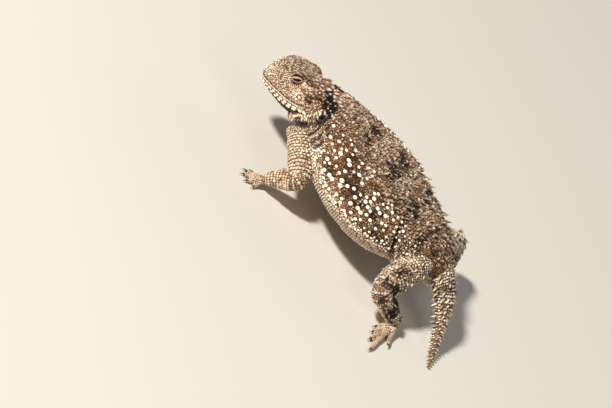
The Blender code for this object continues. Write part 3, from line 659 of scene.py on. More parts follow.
class Places:
    """For each point: the owner it lies on, share along it, degrees round it, the way its scales lie, the
    lead over the next owner, and its place in the head's own frame."""

    def __init__(self, points):
        points = np.asarray(points, float)
        found = []
        rank = np.arange(len(points))
        for name in OWNERS:
            if name == "trunk":
                found.append(near_trunk(points))
            elif name == "head":
                found.append(near_head(points))
            else:
                several = [near_path(points, rows, up) for rows, up in PATHS[name]]
                best = np.argmin([one["outside"] for one in several], axis=0)
                found.append({key: np.array([one[key] for one in several])[best, rank] for key in several[0]})
        outside = np.array([one["outside"] for one in found])
        order = np.sort(outside, axis=0)
        self.points = points
        self.owner = np.argmin(outside, axis=0)
        self.lead = order[1] - order[0]
        for key in ("share", "angle", "lie"):
            setattr(self, key, np.array([one[key] for one in found])[self.owner, rank])
        self.head = to_head(points)

    def on(self, *names):
        return np.isin(self.owner, [OWNER[name] for name in names])


# ---- markings: how dark, pale, warm and rosy the skin is at a place ----

# The fold in front of the shoulder, and the fringe of the throat before it, on the left side.
FOLD_LINE = ((-61.8, -4.6, 13.2), (-61.2, -9.0, 15.1), (-60.2, -11.8, 17.5), (-59.1, -13.0, 19.7),
             (-57.3, -13.3, 21.2), (-55.9, -12.7, 22.8), (-54.6, -12.4, 24.8), (-53.9, -11.8, 26.7))
FRINGE_LINE = ((-63.2, -5.0, 14.0), (-62.6, -8.4, 16.8), (-61.5, -9.8, 18.9), (-59.8, -11.4, 21.3),
               (-58.3, -11.7, 23.0), (-57.2, -11.5, 24.8), (-56.8, -10.7, 27.1), (-56.2, -9.6, 28.9))
# The crease between the flank and the thigh, and the pale fold that runs back from the armpit.
GROIN_LINE = ((-12.6, -9.4, 28.3), (-11.7, -14.0, 26.6), (-10.4, -16.6, 25.0), (-9.3, -17.5, 23.4),
              (-8.0, -17.9, 21.0), (-7.0, -17.5, 18.6), (-5.6, -15.8, 15.9))
ARMPIT_LINE = ((-50.5, -16.3, 21.4), (-47.2, -18.4, 21.8), (-44.9, -19.7, 19.3), (-41.8, -21.4, 19.2),
               (-37.5, -23.3, 19.0), (-32.4, -24.7, 18.7))
# Distance behind the hips of the creases behind the shoulder.
CREASES = (-53.1, -50.9, -48.9)
# The middle of the black patch behind each cheek: a dark patch of the skin, deepened by painted shadow of the
# head.
BLACK_LINE = ((-61.4, -1.6, 30.6), (-58.8, -4.4, 31.0), (-56.3, -7.3, 30.3), (-55.4, -9.6, 28.6))


def from_line(points, line):
    """How far each point is from a bent line, given for the left side, that both sides have."""
    spots = np.column_stack([points[:, 0], -np.abs(points[:, 1]), points[:, 2]])
    line = np.array(line)
    nearest = np.full(len(points), FAR)
    for start, end in zip(line[:-1], line[1:]):
        step = end - start
        t = np.clip((spots - start) @ step / (step @ step), 0, 1)
        nearest = np.minimum(nearest, np.linalg.norm(spots - start - t[:, None] * step, axis=1))
    return nearest


def throat_fold(points):
    """The deep fold that runs from the throat up in front of the shoulder, 1 in its middle."""
    return 1 - ease(from_line(points, FOLD_LINE), 0.7, 1.9)


def groin_fold(points):
    """The crease between the flank and the thigh, 1 in its middle."""
    return 1 - ease(from_line(points, GROIN_LINE), 0.75, 1.5)


def shoulder_creases(places):
    """The creases behind the shoulder, 1 in the middle of each."""
    x, angle = places.points[:, 0], np.abs(places.angle)
    nearest = np.min([np.abs(x - at + 0.3 * np.sin(angle / 7)) for at in CREASES], axis=0)
    beside = ease(angle, 44, 52) * (1 - ease(angle, 92, 100))
    return places.on("trunk") * (1 - ease(nearest, 0.25, 0.65)) * beside


def cheek_gap(places):
    """The gap behind the cheek, 1 in its middle."""
    x, y, z = places.head.T
    return bump(x, 25.2, 0.9) * bump(z, 5.0, 2.8) * ease(np.abs(y), 4.0, 6.0)


def belly_edge(x):
    """Degrees from the middle of the back at which the flank meets the pale belly."""
    return np.interp(x, (-50, -45, -38, -28, -22, -16, -11, -4), (92, 97, 104, 103, 100, 98, 95, 92))


def trunk_marks(places):
    points, x = places.points, places.points[:, 0]
    angle = np.abs(places.angle)
    coarse, fine = noise(points, 3.2, 1), noise(points, 1.2, 2)
    wide = noise(points, 8.0, 3)
    ragged = (coarse - 0.5) * 1.5 + (fine - 0.5) * 1.0
    below = angle - belly_edge(x)
    flank = ease(angle, 24, 44) * (1 - ease(below, -7, 1))
    belly = ease(below, -5, 2)
    rear = ease(x, -36, -6)
    dark = (0.03 + 0.08 * rear) * (1 - belly)
    dark += (0.38 + 0.08 * rear) * ease(coarse * 0.45 + fine * 0.55, 0.5, 0.7) * (1 - belly)
    dark += flank * (0.38 + 0.14 * rear) * ease(coarse, 0.42, 0.66) * ease(x, -50, -42)
    warm = flank * (0.8 - 0.35 * rear + 0.4 * (wide - 0.5)) * ease(x, -57, -46) + 0.12 * (1 - flank)
    pale = belly * (0.9 - 0.3 * rear) + 0.34 * ease(noise(points, 1.7, 4), 0.6, 0.85) * (1 - belly)
    for at, down, long, high, strength in BLOTCHES:
        reach = np.hypot((x - at) / long, (angle - down) / high)
        patch = 1 - ease(reach + ragged * 0.8, 0.6, 1.15)
        edge = bump(x - at - long * 1.35, 0.0, long * 0.4) * bump(angle, down, high * 0.9)
        dark = np.maximum(dark, patch * strength)
        pale = np.maximum(pale, edge * 0.7 * (1 - patch))
    shoulder = bump(x, -50.5, 4.5) * bump(angle, 90, 24)
    pale = np.maximum(pale, 0.8 * shoulder)
    warm = np.maximum(warm, 0.7 * bump(x, -46.0, 4.0) * bump(angle, 72, 24))
    dark *= 1 - 0.85 * np.maximum(shoulder, bump(x, -47.0, 4.5) * bump(angle, 80, 22))
    groin = bump(x, -3.0, 4.5) * bump(angle, 100, 36)
    pale = np.maximum(pale, 0.85 * groin)
    dark *= 1 - 0.85 * groin
    creased = bump(x, -51.0, 4.0) * bump(angle, 74, 26)
    dark *= 1 - 0.75 * creased
    warm = np.maximum(warm, 0.75 * creased)
    pale = np.maximum(pale, 0.5 * creased)
    return dark, pale, warm, 0.1 + 0.15 * wide


def head_marks(places):
    points, (x, y, z) = places.points, places.head.T
    fine, coarse = noise(points, 1.0, 5), noise(points, 3.0, 6)
    crown = ease(z, 5.5, 8.5) * ease(x, 2.5, 6.0)
    rear = ease(x, 14.5, 18.5) * ease(z, 6.4, 8.2)
    dark = 0.05 + crown * (0.12 + 0.6 * ease(fine, 0.5, 0.75))
    dark += rear * 0.45 * ease(coarse * 0.5 + fine * 0.5, 0.5, 0.75)
    lips = bump(z, 0.2, 1.5) * ease(x, -2, 1)
    warm = 0.18 + lips * 0.55 * ease(fine, 0.45, 0.7) + 0.25 * ease(coarse, 0.5, 0.8)
    pale = 0.4 + lips * 0.5 + 0.3 * ease(noise(points, 0.9, 7), 0.6, 0.85) * (1 - crown)
    snout = 1 - ease(x, 2.0, 7.0)
    pale = np.maximum(pale, snout * 0.9)
    before_eye = bump(x, 8.9, 1.5) * bump(z, 6.3, 1.6) * ease(np.abs(y), 3, 6)
    pale = np.maximum(pale, before_eye * 0.85)
    warm *= 1 - before_eye * 0.8
    # Painted shade under the jaw: darker, warmer and less pale.
    throat = np.maximum(ease(-z, 1.6, 3.2), ease(-z, 0.2, 1.0) * ease(x, 14.5, 16.5))
    dark = np.maximum(dark, throat * 0.7)
    warm = np.maximum(warm, throat * 0.6)
    pale *= 1 - 0.85 * throat
    temple = bump(x, 17.6, 1.1) * bump(z, 7.3, 1.2) * ease(np.abs(y), 3.5, 6.0)
    # Painted shadow of the brow ridge: a dark line along the brow above the eye.
    along = np.linspace(9.6, 16.6, 15)
    high = np.interp(along, (9.6, 13.2, 16.6), (7.4, 8.9, 9.1))
    brow = np.min([np.hypot(x - brow_x, z - brow_z) for brow_x, brow_z in zip(along, high)], axis=0)
    dark = np.maximum(dark, 0.9 * bump(brow, 0.0, 0.42) * (np.abs(y) > 3))
    ear = bump(x, 22.4, 1.2) * bump(z, 1.4, 1.6) * ease(np.abs(y), 5, 8)
    dark = np.maximum(dark, np.maximum(temple * 0.8, ear))
    return dark, pale, warm, np.full(len(points), 0.8)


def neck_marks(places):
    points = places.points
    angle = np.abs(places.angle)
    coarse, fine = noise(points, 2.6, 8), noise(points, 1.1, 9)
    dark = 0.15 + 0.45 * ease(coarse * 0.4 + fine * 0.6, 0.5, 0.8)
    # Painted shade under the neck: darker, warmer and less pale.
    throat = ease(angle, 88, 120)
    dark = dark * (1 - throat) + 0.5 * throat
    pale = 0.35 * ease(fine, 0.55, 0.85) * (1 - throat) + 0.15 * throat
    warm = 0.15 + 0.35 * throat
    return dark, pale, warm, np.full(len(points), 0.3)


def arm_marks(places):
    points, share = places.points, places.share
    coarse, fine = noise(points, 3.0, 10), noise(points, 1.4, 11)
    root = 1 - ease(share, 0.15, 0.45)
    dark = (0.05 + 0.22 * ease(coarse * 0.6 + fine * 0.4, 0.52, 0.8)) * (1 - 0.8 * root)
    pale = 0.56 + 0.16 * root - 0.3 * ease(coarse, 0.5, 0.8) * ease(share, 0.4, 0.7)
    return dark, pale, 0.6 + 0.3 * (1 - share), np.full(len(points), 0.15)


def leg_marks(places):
    points, share = places.points, places.share
    coarse, fine = noise(points, 3.0, 10), noise(points, 1.4, 11)
    upper = 1 - ease(np.abs(places.angle), 95, 130)
    root = 1 - ease(share, 0.2, 0.36)
    dark = upper * (0.15 + 0.7 * ease(coarse * 0.65 + fine * 0.35, 0.46, 0.66)) * (1 - 0.85 * root)
    pale = np.maximum(0.35 + 0.5 * (1 - upper) + 0.3 * ease(fine, 0.5, 0.8), 0.72 * root)
    # The front of the thigh and shin, and all of the right leg, are paler.
    ahead = points[:, 0] < np.interp(share, (0, 0.55, 1), (-1.0, -1.8, 10.0))
    for paler, least, left_dark in ((ahead, 0.75, 0.45), (points[:, 1] > 0, 0.7, 0.4)):
        pale = np.where(paler, np.maximum(pale, least), pale)
        dark = np.where(paler, dark * left_dark, dark)
    return dark, pale, 0.22 + 0.2 * coarse, np.full(len(points), 0.15)


def digit_marks(places):
    fine = noise(places.points, 1.3, 12)
    dark = 0.1 + 0.3 * ease(fine, 0.6, 0.85)
    count = np.ones(len(fine))
    return dark, 0.45 * count, 0.35 * count, 0.3 * count


def tail_marks(places):
    points, share = places.points, places.share
    coarse, fine = noise(points, 2.4, 13), noise(points, 1.1, 14)
    angle = np.abs(places.angle)
    bands = 0.5 + 0.5 * np.sin(share * 2 * math.pi * 4.5 + 0.6)
    under = ease(angle, 100, 130)
    dark = (0.05 + 0.42 * ease(bands * 0.6 + coarse * 0.4, 0.5, 0.75)) * (1 - 0.9 * ease(share, 0.2, 0.6))
    dark *= 1 - 0.8 * under
    pale = 0.55 + 0.45 * ease(share, 0.1, 0.5) + 0.4 * under + 0.2 * ease(fine, 0.6, 0.85)
    return dark, pale, 0.28 + 0.2 * coarse, np.full(len(points), 0.15)


def markings(places):
    """Dark, pale, warm and rosy shares at each place, from 0 to 1, the same for skin and scales."""
    marks = np.zeros((len(places.points), 4))
    for names, recipe in (
        (("trunk",), trunk_marks),
        (("head",), head_marks),
        (("neck",), neck_marks),
        (("tail",), tail_marks),
        (("arm_left", "arm_right"), arm_marks),
        (("leg_left", "leg_right"), leg_marks),
        (DIGITS, digit_marks),
    ):
        wanted = places.on(*names)
        if wanted.any():
            marks[wanted] = np.column_stack(recipe(chosen(places, wanted)))
    points = places.points
    black = from_line(points, BLACK_LINE) + 2.4 * (noise(points, 1.6, 15) - 0.5)
    black = (1 - ease(black, 1.9, 3.3)) * ease(places.head[:, 0], 20.0, 22.5)
    armpit = bump(from_line(points, ARMPIT_LINE), 0.0, 1.5)
    marks[:, 0] *= 1 - 0.9 * armpit
    marks[:, 1] = np.maximum(marks[:, 1], 0.9 * armpit)
    # Painted shade in the fold of the throat, the crease of the groin, the creases behind the shoulder and
    # the gap behind the cheek; and the black patch behind each cheek, partly its own colour and partly
    # painted shadow of the head.
    for depth, shade in (
        (throat_fold(points), 0.95),
        (groin_fold(points), 0.9),
        (shoulder_creases(places), 0.9),
        (cheek_gap(places), 0.95),
        (black, 1.0),
    ):
        marks[:, 0] = np.maximum(marks[:, 0], shade * depth)
    return np.clip(marks, 0.0, 1.0)


def chosen(places, wanted):
    """The places where wanted is true."""
    some = Places.__new__(Places)
    for key, values in vars(places).items():
        setattr(some, key, values[wanted])
    return some


# ---- meshes ----


def build_mesh(name, points, faces, marks, relief):
    """A mesh in the frame of the solids with its markings, and with its tone and relief from gap to tip."""
    mesh = bpy.data.meshes.new(name)
    clear = np.array(points, float)
    clear[:, 2] = np.clip(clear[:, 2], FLOOR_CLEARANCE, CAD_BOX[1][2] / MM - FLOOR_CLEARANCE)
    faces = np.asarray(faces)
    mesh.vertices.add(len(clear))
    mesh.vertices.foreach_set("co", in_metres(clear).ravel())
    mesh.loops.add(faces.size)
    mesh.loops.foreach_set("vertex_index", faces.ravel())
    mesh.polygons.add(len(faces))
    mesh.polygons.foreach_set("loop_start", np.arange(len(faces)) * faces.shape[1])
    mesh.update(calc_edges=True)
    mesh.validate()
    if marks is not None:
        for title, values in (("markings", marks), ("relief", relief)):
            layer = mesh.color_attributes.new(title, "FLOAT_COLOR", "POINT")
            layer.data.foreach_set("color", np.asarray(values, np.float32).ravel())
    mesh.shade_smooth()
    obj = bpy.data.objects.new(name, mesh)
    bpy.context.scene.collection.objects.link(obj)
    return obj


def finish_piece(obj, material, slot, *nodes):
    """Gives a piece its material, ties it to the solids and hides the named nodes of the solids; the slot is
    not used.
    """
    obj.data.materials.append(material)
    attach(obj, "root")
    if nodes:
        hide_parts(*nodes)
    return obj


def grey(values):
    """The values as a grey attribute of the points."""
    return np.column_stack([values, values, values, np.ones(len(values))])


def corner_uv(mesh, per_point):
    """Writes the bake map from a place for each point of the mesh."""
    layer = mesh.uv_layers.new(name="OFBake")
    index = np.zeros(len(mesh.loops), np.int32)
    mesh.loops.foreach_get("vertex_index", index)
    layer.data.foreach_set("uv", per_point[index].astype(np.float32).ravel())


# ---- the skin ----

skin = {}


def vertex_normals(points, faces):
    a, b, c, d = (points[faces[:, k]] for k in range(4))
    face = np.cross(c - a, d - b)
    total = np.zeros_like(points)
    for k in range(4):
        np.add.at(total, faces[:, k], face)
    return unit(total)


def relaxed(points, faces, weight, rounds):
    """Evens out the points where weight is high."""
    pairs = np.vstack([faces[:, [k, (k + 1) % 4]] for k in range(4)])
    pairs = np.unique(np.sort(pairs, axis=1), axis=0)
    first, second = np.concatenate([pairs[:, 0], pairs[:, 1]]), np.concatenate([pairs[:, 1], pairs[:, 0]])
    count = np.bincount(first, minlength=len(points))
    weight = (weight * 0.5)[:, None]
    for _ in range(rounds):
        mean = np.column_stack([np.bincount(first, points[second, k], len(points)) for k in range(3)])
        points = points * (1 - weight) + weight * mean / count[:, None]
    return points


def skin_relief(places):
    """How far the skin rises from the flesh, in folds and swellings."""
    points, x = places.points, places.points[:, 0]
    angle = np.abs(places.angle)
    rise = 0.22 * (noise(points, 3.6, 21) - 0.5)
    trunk = places.on("trunk")
    rise += 0.35 * trunk * bump(x, -50.5, 4.0) * bump(angle, 78, 24)
    rise -= 0.6 * shoulder_creases(places)
    groin = bump(x, -1.5, 4.5) * bump(angle, 98, 22)
    rise += trunk * groin * 0.32 * np.sin((x - 0.08 * angle) * 2 * math.pi / 1.9)
    rise += trunk * 0.45 * bump(angle, 101, 8) * ease(x, -50, -42) * (1 - ease(x, -8, 0))
    rise -= trunk * 0.3 * bump(angle, 0, 7) * ease(x, -50, -40)
    rise -= 1.35 * throat_fold(points)
    rise += 0.6 * bump(from_line(points, FRINGE_LINE), 0.0, 1.0)
    rise -= 0.9 * groin_fold(points)
    rise += trunk * 0.45 * bump(from_line(points, ARMPIT_LINE), 0.0, 0.9)
    head_x, head_y, head_z = places.head.T
    head = places.on("head")
    behind = np.where(head_x > 22.2, 1.3, 3.4)
    rise += 1.15 * bump(head_x, 22.2, behind) * bump(head_z, 5.6, 2.3) * ease(np.abs(head_y), 4.5, 7.0)
    rise -= 0.8 * cheek_gap(places)
    groove = bump(head_z, 0.25, 0.42) * (1 - ease(head_x, MOUTH_END, MOUTH_END + 1.0)) * (head_x > -1)
    rise -= head * 0.35 * groove
    for side, _ in SIDES:
        ear = np.linalg.norm((places.head - mirrored((20.6, 9.6, 2.4), side)) / (1.5, 3.0, 1.8), axis=1)
        rise -= 0.6 * np.exp(-ear**2)
        nostril = np.linalg.norm(places.head - mirrored(NOSTRIL_PLACE, side), axis=1)
        rise += head * (0.3 * bump(nostril, 0.75, 0.35) - 0.7 * np.exp(-((nostril / 0.45) ** 2)))
    return rise


def eye_sockets(points):
    """Sinks the skin behind each eyeball, so that only the lids stand round it."""
    local = to_head(points)
    for side, _ in SIDES:
        eye = mirrored(EYE_PLACE, side)
        off = local - eye
        near = np.hypot(off[:, 0], off[:, 2])
        facing = (off[:, 1] * side > -1.5) & (near < 4.0)
        share = 1 - ease(near, EYE_OPENING, 2.15)
        floor = eye[1] - side * 0.4
        local[:, 1] = np.where(facing, local[:, 1] * (1 - share) + floor * share, local[:, 1])
    return from_head(local)


# Where two owners meet, the skin is evened out this many times, this far in mm from the seam.
SEAM_ROUNDS, SEAM_WIDTH = 26, 1.3


def make_skin(voxel):
    """The whole skin as points and squares, kept for the pieces that grow from it."""
    points, faces = melted(flesh_pieces(), voxel)
    faces = np.array([face for face in faces if len(face) == 4])
    places = Places(points)
    soft = bump(places.lead, 0.0, SEAM_WIDTH) * ~places.on(*DIGITS) * (places.head[:, 0] > 14.0)
    points = relaxed(points, faces, soft, SEAM_ROUNDS)
    points = relaxed(points, faces, np.full(len(points), 0.4), 2)
    places = Places(points)
    normals = vertex_normals(points, faces)
    points = points + normals * (skin_relief(places) - COAT_DEPTH)[:, None]
    skin["closed"] = BVHTree.FromPolygons(points.tolist(), faces.tolist())
    points = eye_sockets(points)
    skin["points"], skin["faces"], skin["normals"] = points, faces, vertex_normals(points, faces)
    skin["places"] = Places(points)
    skin["tree"] = BVHTree.FromPolygons(points.tolist(), faces.tolist())
    skin["taken"] = []


def skin_ready():
    if not skin:
        raise RuntimeError("Make the skin first: the other pieces grow from it")
    return skin["tree"]


# ---- where scales are rooted ----


class Roots:
    """Roots of scales on the skin: the points, the way out of the skin, and their places on the body."""

    def __init__(self, points, out):
        self.points = np.asarray(points, float).reshape(-1, 3)
        self.out = unit(np.asarray(out, float).reshape(-1, 3))
        self.places = Places(self.points)

    def pick(self, wanted):
        some = Roots.__new__(Roots)
        some.points, some.out = self.points[wanted], self.out[wanted]
        some.places = chosen(self.places, wanted)
        return some

    def __len__(self):
        return len(self.points)


def ray_hits(rays):
    """Roots where rays from inside the flesh come out near the expected distance."""
    tree = skin_ready()
    points, out = [], []
    for start, way, expected, slack in rays:
        hit, normal, _, distance = tree.ray_cast(Vector(start), Vector(way), expected * slack + 0.6)
        if hit is not None and distance > expected * 0.62 - 0.4:
            points.append(tuple(hit))
            out.append(tuple(normal))
    return Roots(points, out)


def trunk_rays(draws, along_step, around_step, low, high, jitter, first=-60.0, last=9.0):
    """Rays to staggered rows round the trunk, between two angles from the middle of the back."""
    turns = np.radians(np.linspace(-180, 180, 361))
    for i, x in enumerate(np.arange(first, last, along_step)):
        height, width, above, below = trunk_section(x)
        y, z = trunk_oval(np.sin(turns), np.cos(turns), width, above, below)
        arc = np.concatenate([[0.0], np.cumsum(np.hypot(np.diff(y), np.diff(z)))])
        count = max(8, round(arc[-1] / around_step))
        order = np.arange(count) + 0.5 * (i % 2) + draws.uniform(-jitter, jitter, count)
        at = order / count % 1.0 * arc[-1]
        for y_at, z_at in zip(np.interp(at, arc, y), np.interp(at, arc, z)):
            level = above if z_at > 0 else below
            angle = abs(math.degrees(math.atan2(y_at / width, z_at / level)))
            if low <= angle <= high:
                shift = draws.uniform(-jitter, jitter) * along_step
                expected = math.hypot(y_at, z_at)
                yield (x + shift, 0.0, height), (0.0, y_at / expected, z_at / expected), expected, 1.07


def path_rays(draws, rows, up, along_step, around_step, jitter, slack, first=0.0, last=1.0):
    """Rays to staggered rings round a tube."""
    _, travelled = travelled_along(rows[:, :3])
    ahead, side, top = path_frames(rows, up)
    stops = np.arange(first * travelled[-1] + along_step / 2, last * travelled[-1], along_step)
    for i, stop in enumerate(stops):
        row = np.array([np.interp(stop, travelled, rows[:, n]) for n in range(5)])
        at = min(np.searchsorted(travelled, stop), len(rows) - 1)
        count = max(5, round(2 * math.pi * row[3:5].mean() / around_step))
        for k in range(count):
            turn = 2 * math.pi * (k + 0.5 * (i % 2) + draws.uniform(-jitter, jitter)) / count
            off = side[at] * math.cos(turn) * row[3] + top[at] * math.sin(turn) * row[4]
            expected = float(np.linalg.norm(off))
            start = row[:3] + ahead[at] * draws.uniform(-jitter, jitter) * along_step
            yield start, off / expected, expected, slack


def tree_of(points):
    """A tree that finds the points near a place."""
    tree = KDTree(len(points))
    for i, point in enumerate(points):
        tree.insert(point, i)
    tree.balance()
    return tree


def free_of(roots, clearance):
    """The roots that keep clear of what is already there."""
    wanted = np.ones(len(roots), bool)
    for points, radii in skin["taken"]:
        tree = tree_of(points)
        most = float(np.max(radii)) + clearance
        for i, point in enumerate(roots.points):
            if wanted[i]:
                for _, index, distance in tree.find_range(point, most):
                    if distance < radii[index] + clearance:
                        wanted[i] = False
                        break
    return roots.pick(wanted)


def roots_on(rays, clearance, *owners):
    """Roots where the rays come out on those owners, clear of what is already there."""
    roots = ray_hits(rays)
    return free_of(roots.pick(roots.places.on(*owners)), clearance)


def take(points, radii):
    """Keeps later scales that far off the points."""
    if len(points):
        skin["taken"].append((points.copy(), np.broadcast_to(radii, len(points)).copy()))


# Tries for each place that a strewn root may take, and the least distance between two as a share of the mean.
TRIES, CLOSEST = 9, 0.84


def scattered(spacing, wanted, draws):
    """Roots strewn evenly about that far apart over the skin where wanted is true for its points."""
    points, faces = skin["points"], skin["faces"]
    triangles = np.vstack([faces[:, [0, 1, 2]], faces[:, [0, 2, 3]]])
    triangles = triangles[wanted[triangles].all(axis=1)]
    if not len(triangles):
        return Roots(np.zeros((0, 3)), np.zeros((0, 3)))
    a, b, c = (points[triangles[:, k]] for k in range(3))
    area = np.linalg.norm(np.cross(b - a, c - a), axis=1) / 2
    count = int(area.sum() / spacing**2 * TRIES)
    pick = draws.choice(len(triangles), count, p=area / area.sum())
    u, v = draws.random(count), draws.random(count)
    u, v = np.where(u + v > 1, 1 - u, u)[:, None], np.where(u + v > 1, 1 - v, v)[:, None]
    found = a[pick] + (b - a)[pick] * u + (c - a)[pick] * v
    out = skin["normals"][triangles[pick]].mean(axis=1)
    _, first = np.unique(np.floor(found / (spacing * 0.5)).astype(np.int64), axis=0, return_index=True)
    first = draws.permutation(first)
    found, out = found[first], out[first]
    tree = tree_of(found)
    gone = np.zeros(len(found), bool)
    kept = []
    for i, point in enumerate(found):
        if gone[i]:
            continue
        kept.append(i)
        for _, index, _ in tree.find_range(point, spacing * CLOSEST):
            gone[index] = True
    return Roots(found[kept], out[kept])


def nearest_roots(points):
    """The skin's nearest point to each point."""
    tree = skin_ready()
    hits = [tree.find_nearest(Vector(point)) for point in np.asarray(points, float)]
    return Roots([tuple(hit[0]) for hit in hits], [tuple(hit[1]) for hit in hits])


# ---- shapes of one scale, one unit long, wide and high, its front end first ----


def ringed(rings, sides, tip):
    """Points and triangles of a form with round rings of (radius, height, shift back), open below."""
    points = []
    for radius, height, shift in rings:
        points += [(shift + radius * math.cos(t), radius * math.sin(t), height) for t in turns_of(sides)]
    points.append(tip)
    faces = []
    for i in range(len(rings) - 1):
        for k in range(sides):
            a, b = i * sides + k, i * sides + (k + 1) % sides
            faces += [(a, b, b + sides), (a, b + sides, a + sides)]
    last = (len(rings) - 1) * sides
    faces += [(last + k, last + (k + 1) % sides, len(points) - 1) for k in range(sides)]
    return np.array(points), np.array(faces)


def rimmed(rim, ridge, tops):
    """A plate with a raised rim, a ridge of points along it, and walls down into the skin."""
    count = len(rim)
    base = [(x * 0.92, y * 0.92, -0.5) for x, y, _ in rim]
    walls = []
    for i in range(count):
        j = (i + 1) % count
        walls += [(i, j, count + len(ridge) + j), (i, count + len(ridge) + j, count + len(ridge) + i)]
    return np.array([*rim, *ridge, *base]), np.array([*tops, *walls])


GRANULE = ringed(((0.5, -0.4, 0.0), (0.44, 0.5, 0.0)), 6, (0.05, 0.0, 1.0))
BEAD = ringed(((0.46, -0.3, 0.0), (0.5, 0.5, 0.0), (0.34, 0.85, 0.03)), 9, (0.1, 0.0, 1.0))
SPINE = ringed(((0.5, -0.35, 0.0), (0.42, 0.24, 0.02), (0.26, 0.62, 0.1)), 7, (0.3, 0.0, 1.0))
THORN = ringed(((0.5, -0.35, 0.0), (0.4, 0.12, 0.0), (0.2, 0.55, 0.1)), 7, (0.42, 0.0, 1.0))
PLATE = rimmed(
    ((-0.5, 0.0, 0.3), (-0.28, 0.46, 0.5), (0.28, 0.44, 0.7), (0.54, 0.0, 0.8), (0.28, -0.44, 0.7),
     (-0.28, -0.46, 0.5)),
    ((0.05, 0.0, 1.0),),
    ((0, 6, 1), (1, 6, 2), (2, 6, 3), (3, 6, 4), (4, 6, 5), (5, 6, 0)),
)
KEELED = rimmed(
    ((-0.5, 0.0, 0.05), (-0.18, 0.48, 0.12), (0.26, 0.38, 0.38), (0.64, 0.0, 1.0), (0.26, -0.38, 0.38),
     (-0.18, -0.48, 0.12)),
    ((-0.2, 0.0, 0.5), (0.22, 0.0, 0.9)),
    ((0, 6, 1), (1, 6, 7), (1, 7, 2), (2, 7, 3), (0, 5, 6), (5, 7, 6), (5, 4, 7), (4, 3, 7)),
)


# Kinds of scale: shape, then length, width and height in mm and how much they vary, lean back in degrees,
# tone from dull to bright and how much it varies.
KINDS = {
    "lid": (GRANULE, (0.5, 0.46, 0.2), 0.14, 4.0, 0.58, 0.14),
    "nape lump": (THORN, (1.8, 1.5, 1.2), 0.18, 30.0, 0.8, 0.1),
    "crumb": (BEAD, (1.0, 0.86, 0.44), 0.2, 8.0, 0.85, 0.1),
    "comb": (THORN, (1.2, 0.9, 0.95), 0.12, 50.0, 0.85, 0.1),
    "back": (GRANULE, (0.98, 0.86, 0.5), 0.26, 16.0, 0.67, 0.26),
    "flank": (GRANULE, (0.66, 0.58, 0.34), 0.22, 10.0, 0.58, 0.28),
    "belly": (KEELED, (0.96, 0.84, 0.42), 0.1, -10.0, 0.66, 0.16),
    "tail": (PLATE, (0.86, 0.98, 0.5), 0.14, -9.0, 0.7, 0.24),
    "digit": (PLATE, (0.8, 0.64, 0.24), 0.08, -5.0, 0.6, 0.12),
    "cheek": (BEAD, (1.12, 0.98, 0.5), 0.16, 10.0, 0.66, 0.12),
    "brow": (GRANULE, (0.8, 0.7, 0.36), 0.12, 6.0, 0.5, 0.16),
    "fine": (GRANULE, (0.6, 0.54, 0.2), 0.12, 5.0, 0.5, 0.12),
}


class Layer:
    """Scales of one shape: their roots, sizes in mm, lean back in degrees, tone, and own markings."""

    def __init__(self, shape, roots, size, lean=0.0, tone=0.5, marks=None, lie=None):
        count = len(roots)
        self.shape, self.roots = shape, roots
        self.size = np.broadcast_to(size, (count, 3))
        self.lean = np.radians(np.broadcast_to(lean, count))
        self.tone = np.broadcast_to(tone, count)
        self.marks = markings(roots.places) if marks is None else np.broadcast_to(marks, (count, 4))
        self.lie = roots.places.lie if lie is None else np.broadcast_to(lie, (count, 3))

    def points(self):
        out = self.roots.out
        lie = unit(self.lie - out * np.sum(self.lie * out, axis=1, keepdims=True))
        across = np.cross(out, lie)
        c, s = np.cos(self.lean)[:, None], np.sin(self.lean)[:, None]
        lie, out = lie * c - out * s, out * c + lie * s
        local = self.shape[0][None] * self.size[:, None]
        places = self.roots.points[:, None] + local[..., 0:1] * lie[:, None]
        return places + local[..., 1:2] * across[:, None] + local[..., 2:3] * out[:, None]


# Shares of the bake map: the margin round it, and half the width of the patch that one scale takes up.
MAP_MARGIN, MAP_PATCH = 0.005, 0.003


def unwrapped(places):
    """The places laid flat: each owner a strip as wide as its share of them, with its length along it."""
    flat = np.zeros((len(places.points), 2))
    start = 0.0
    for owner in np.unique(places.owner):
        wanted = places.owner == owner
        width = wanted.mean()
        share = places.share[wanted]
        spread = max(float(np.ptp(share)), 1e-6)
        flat[wanted, 0] = start + width * (share - share.min()) / spread
        flat[wanted, 1] = (places.angle[wanted] + 180) / 360
        start += width
    low, high = flat.min(0), flat.max(0)
    return MAP_MARGIN + (1 - 2 * MAP_MARGIN) * (flat - low) / np.maximum(high - low, 1e-6)


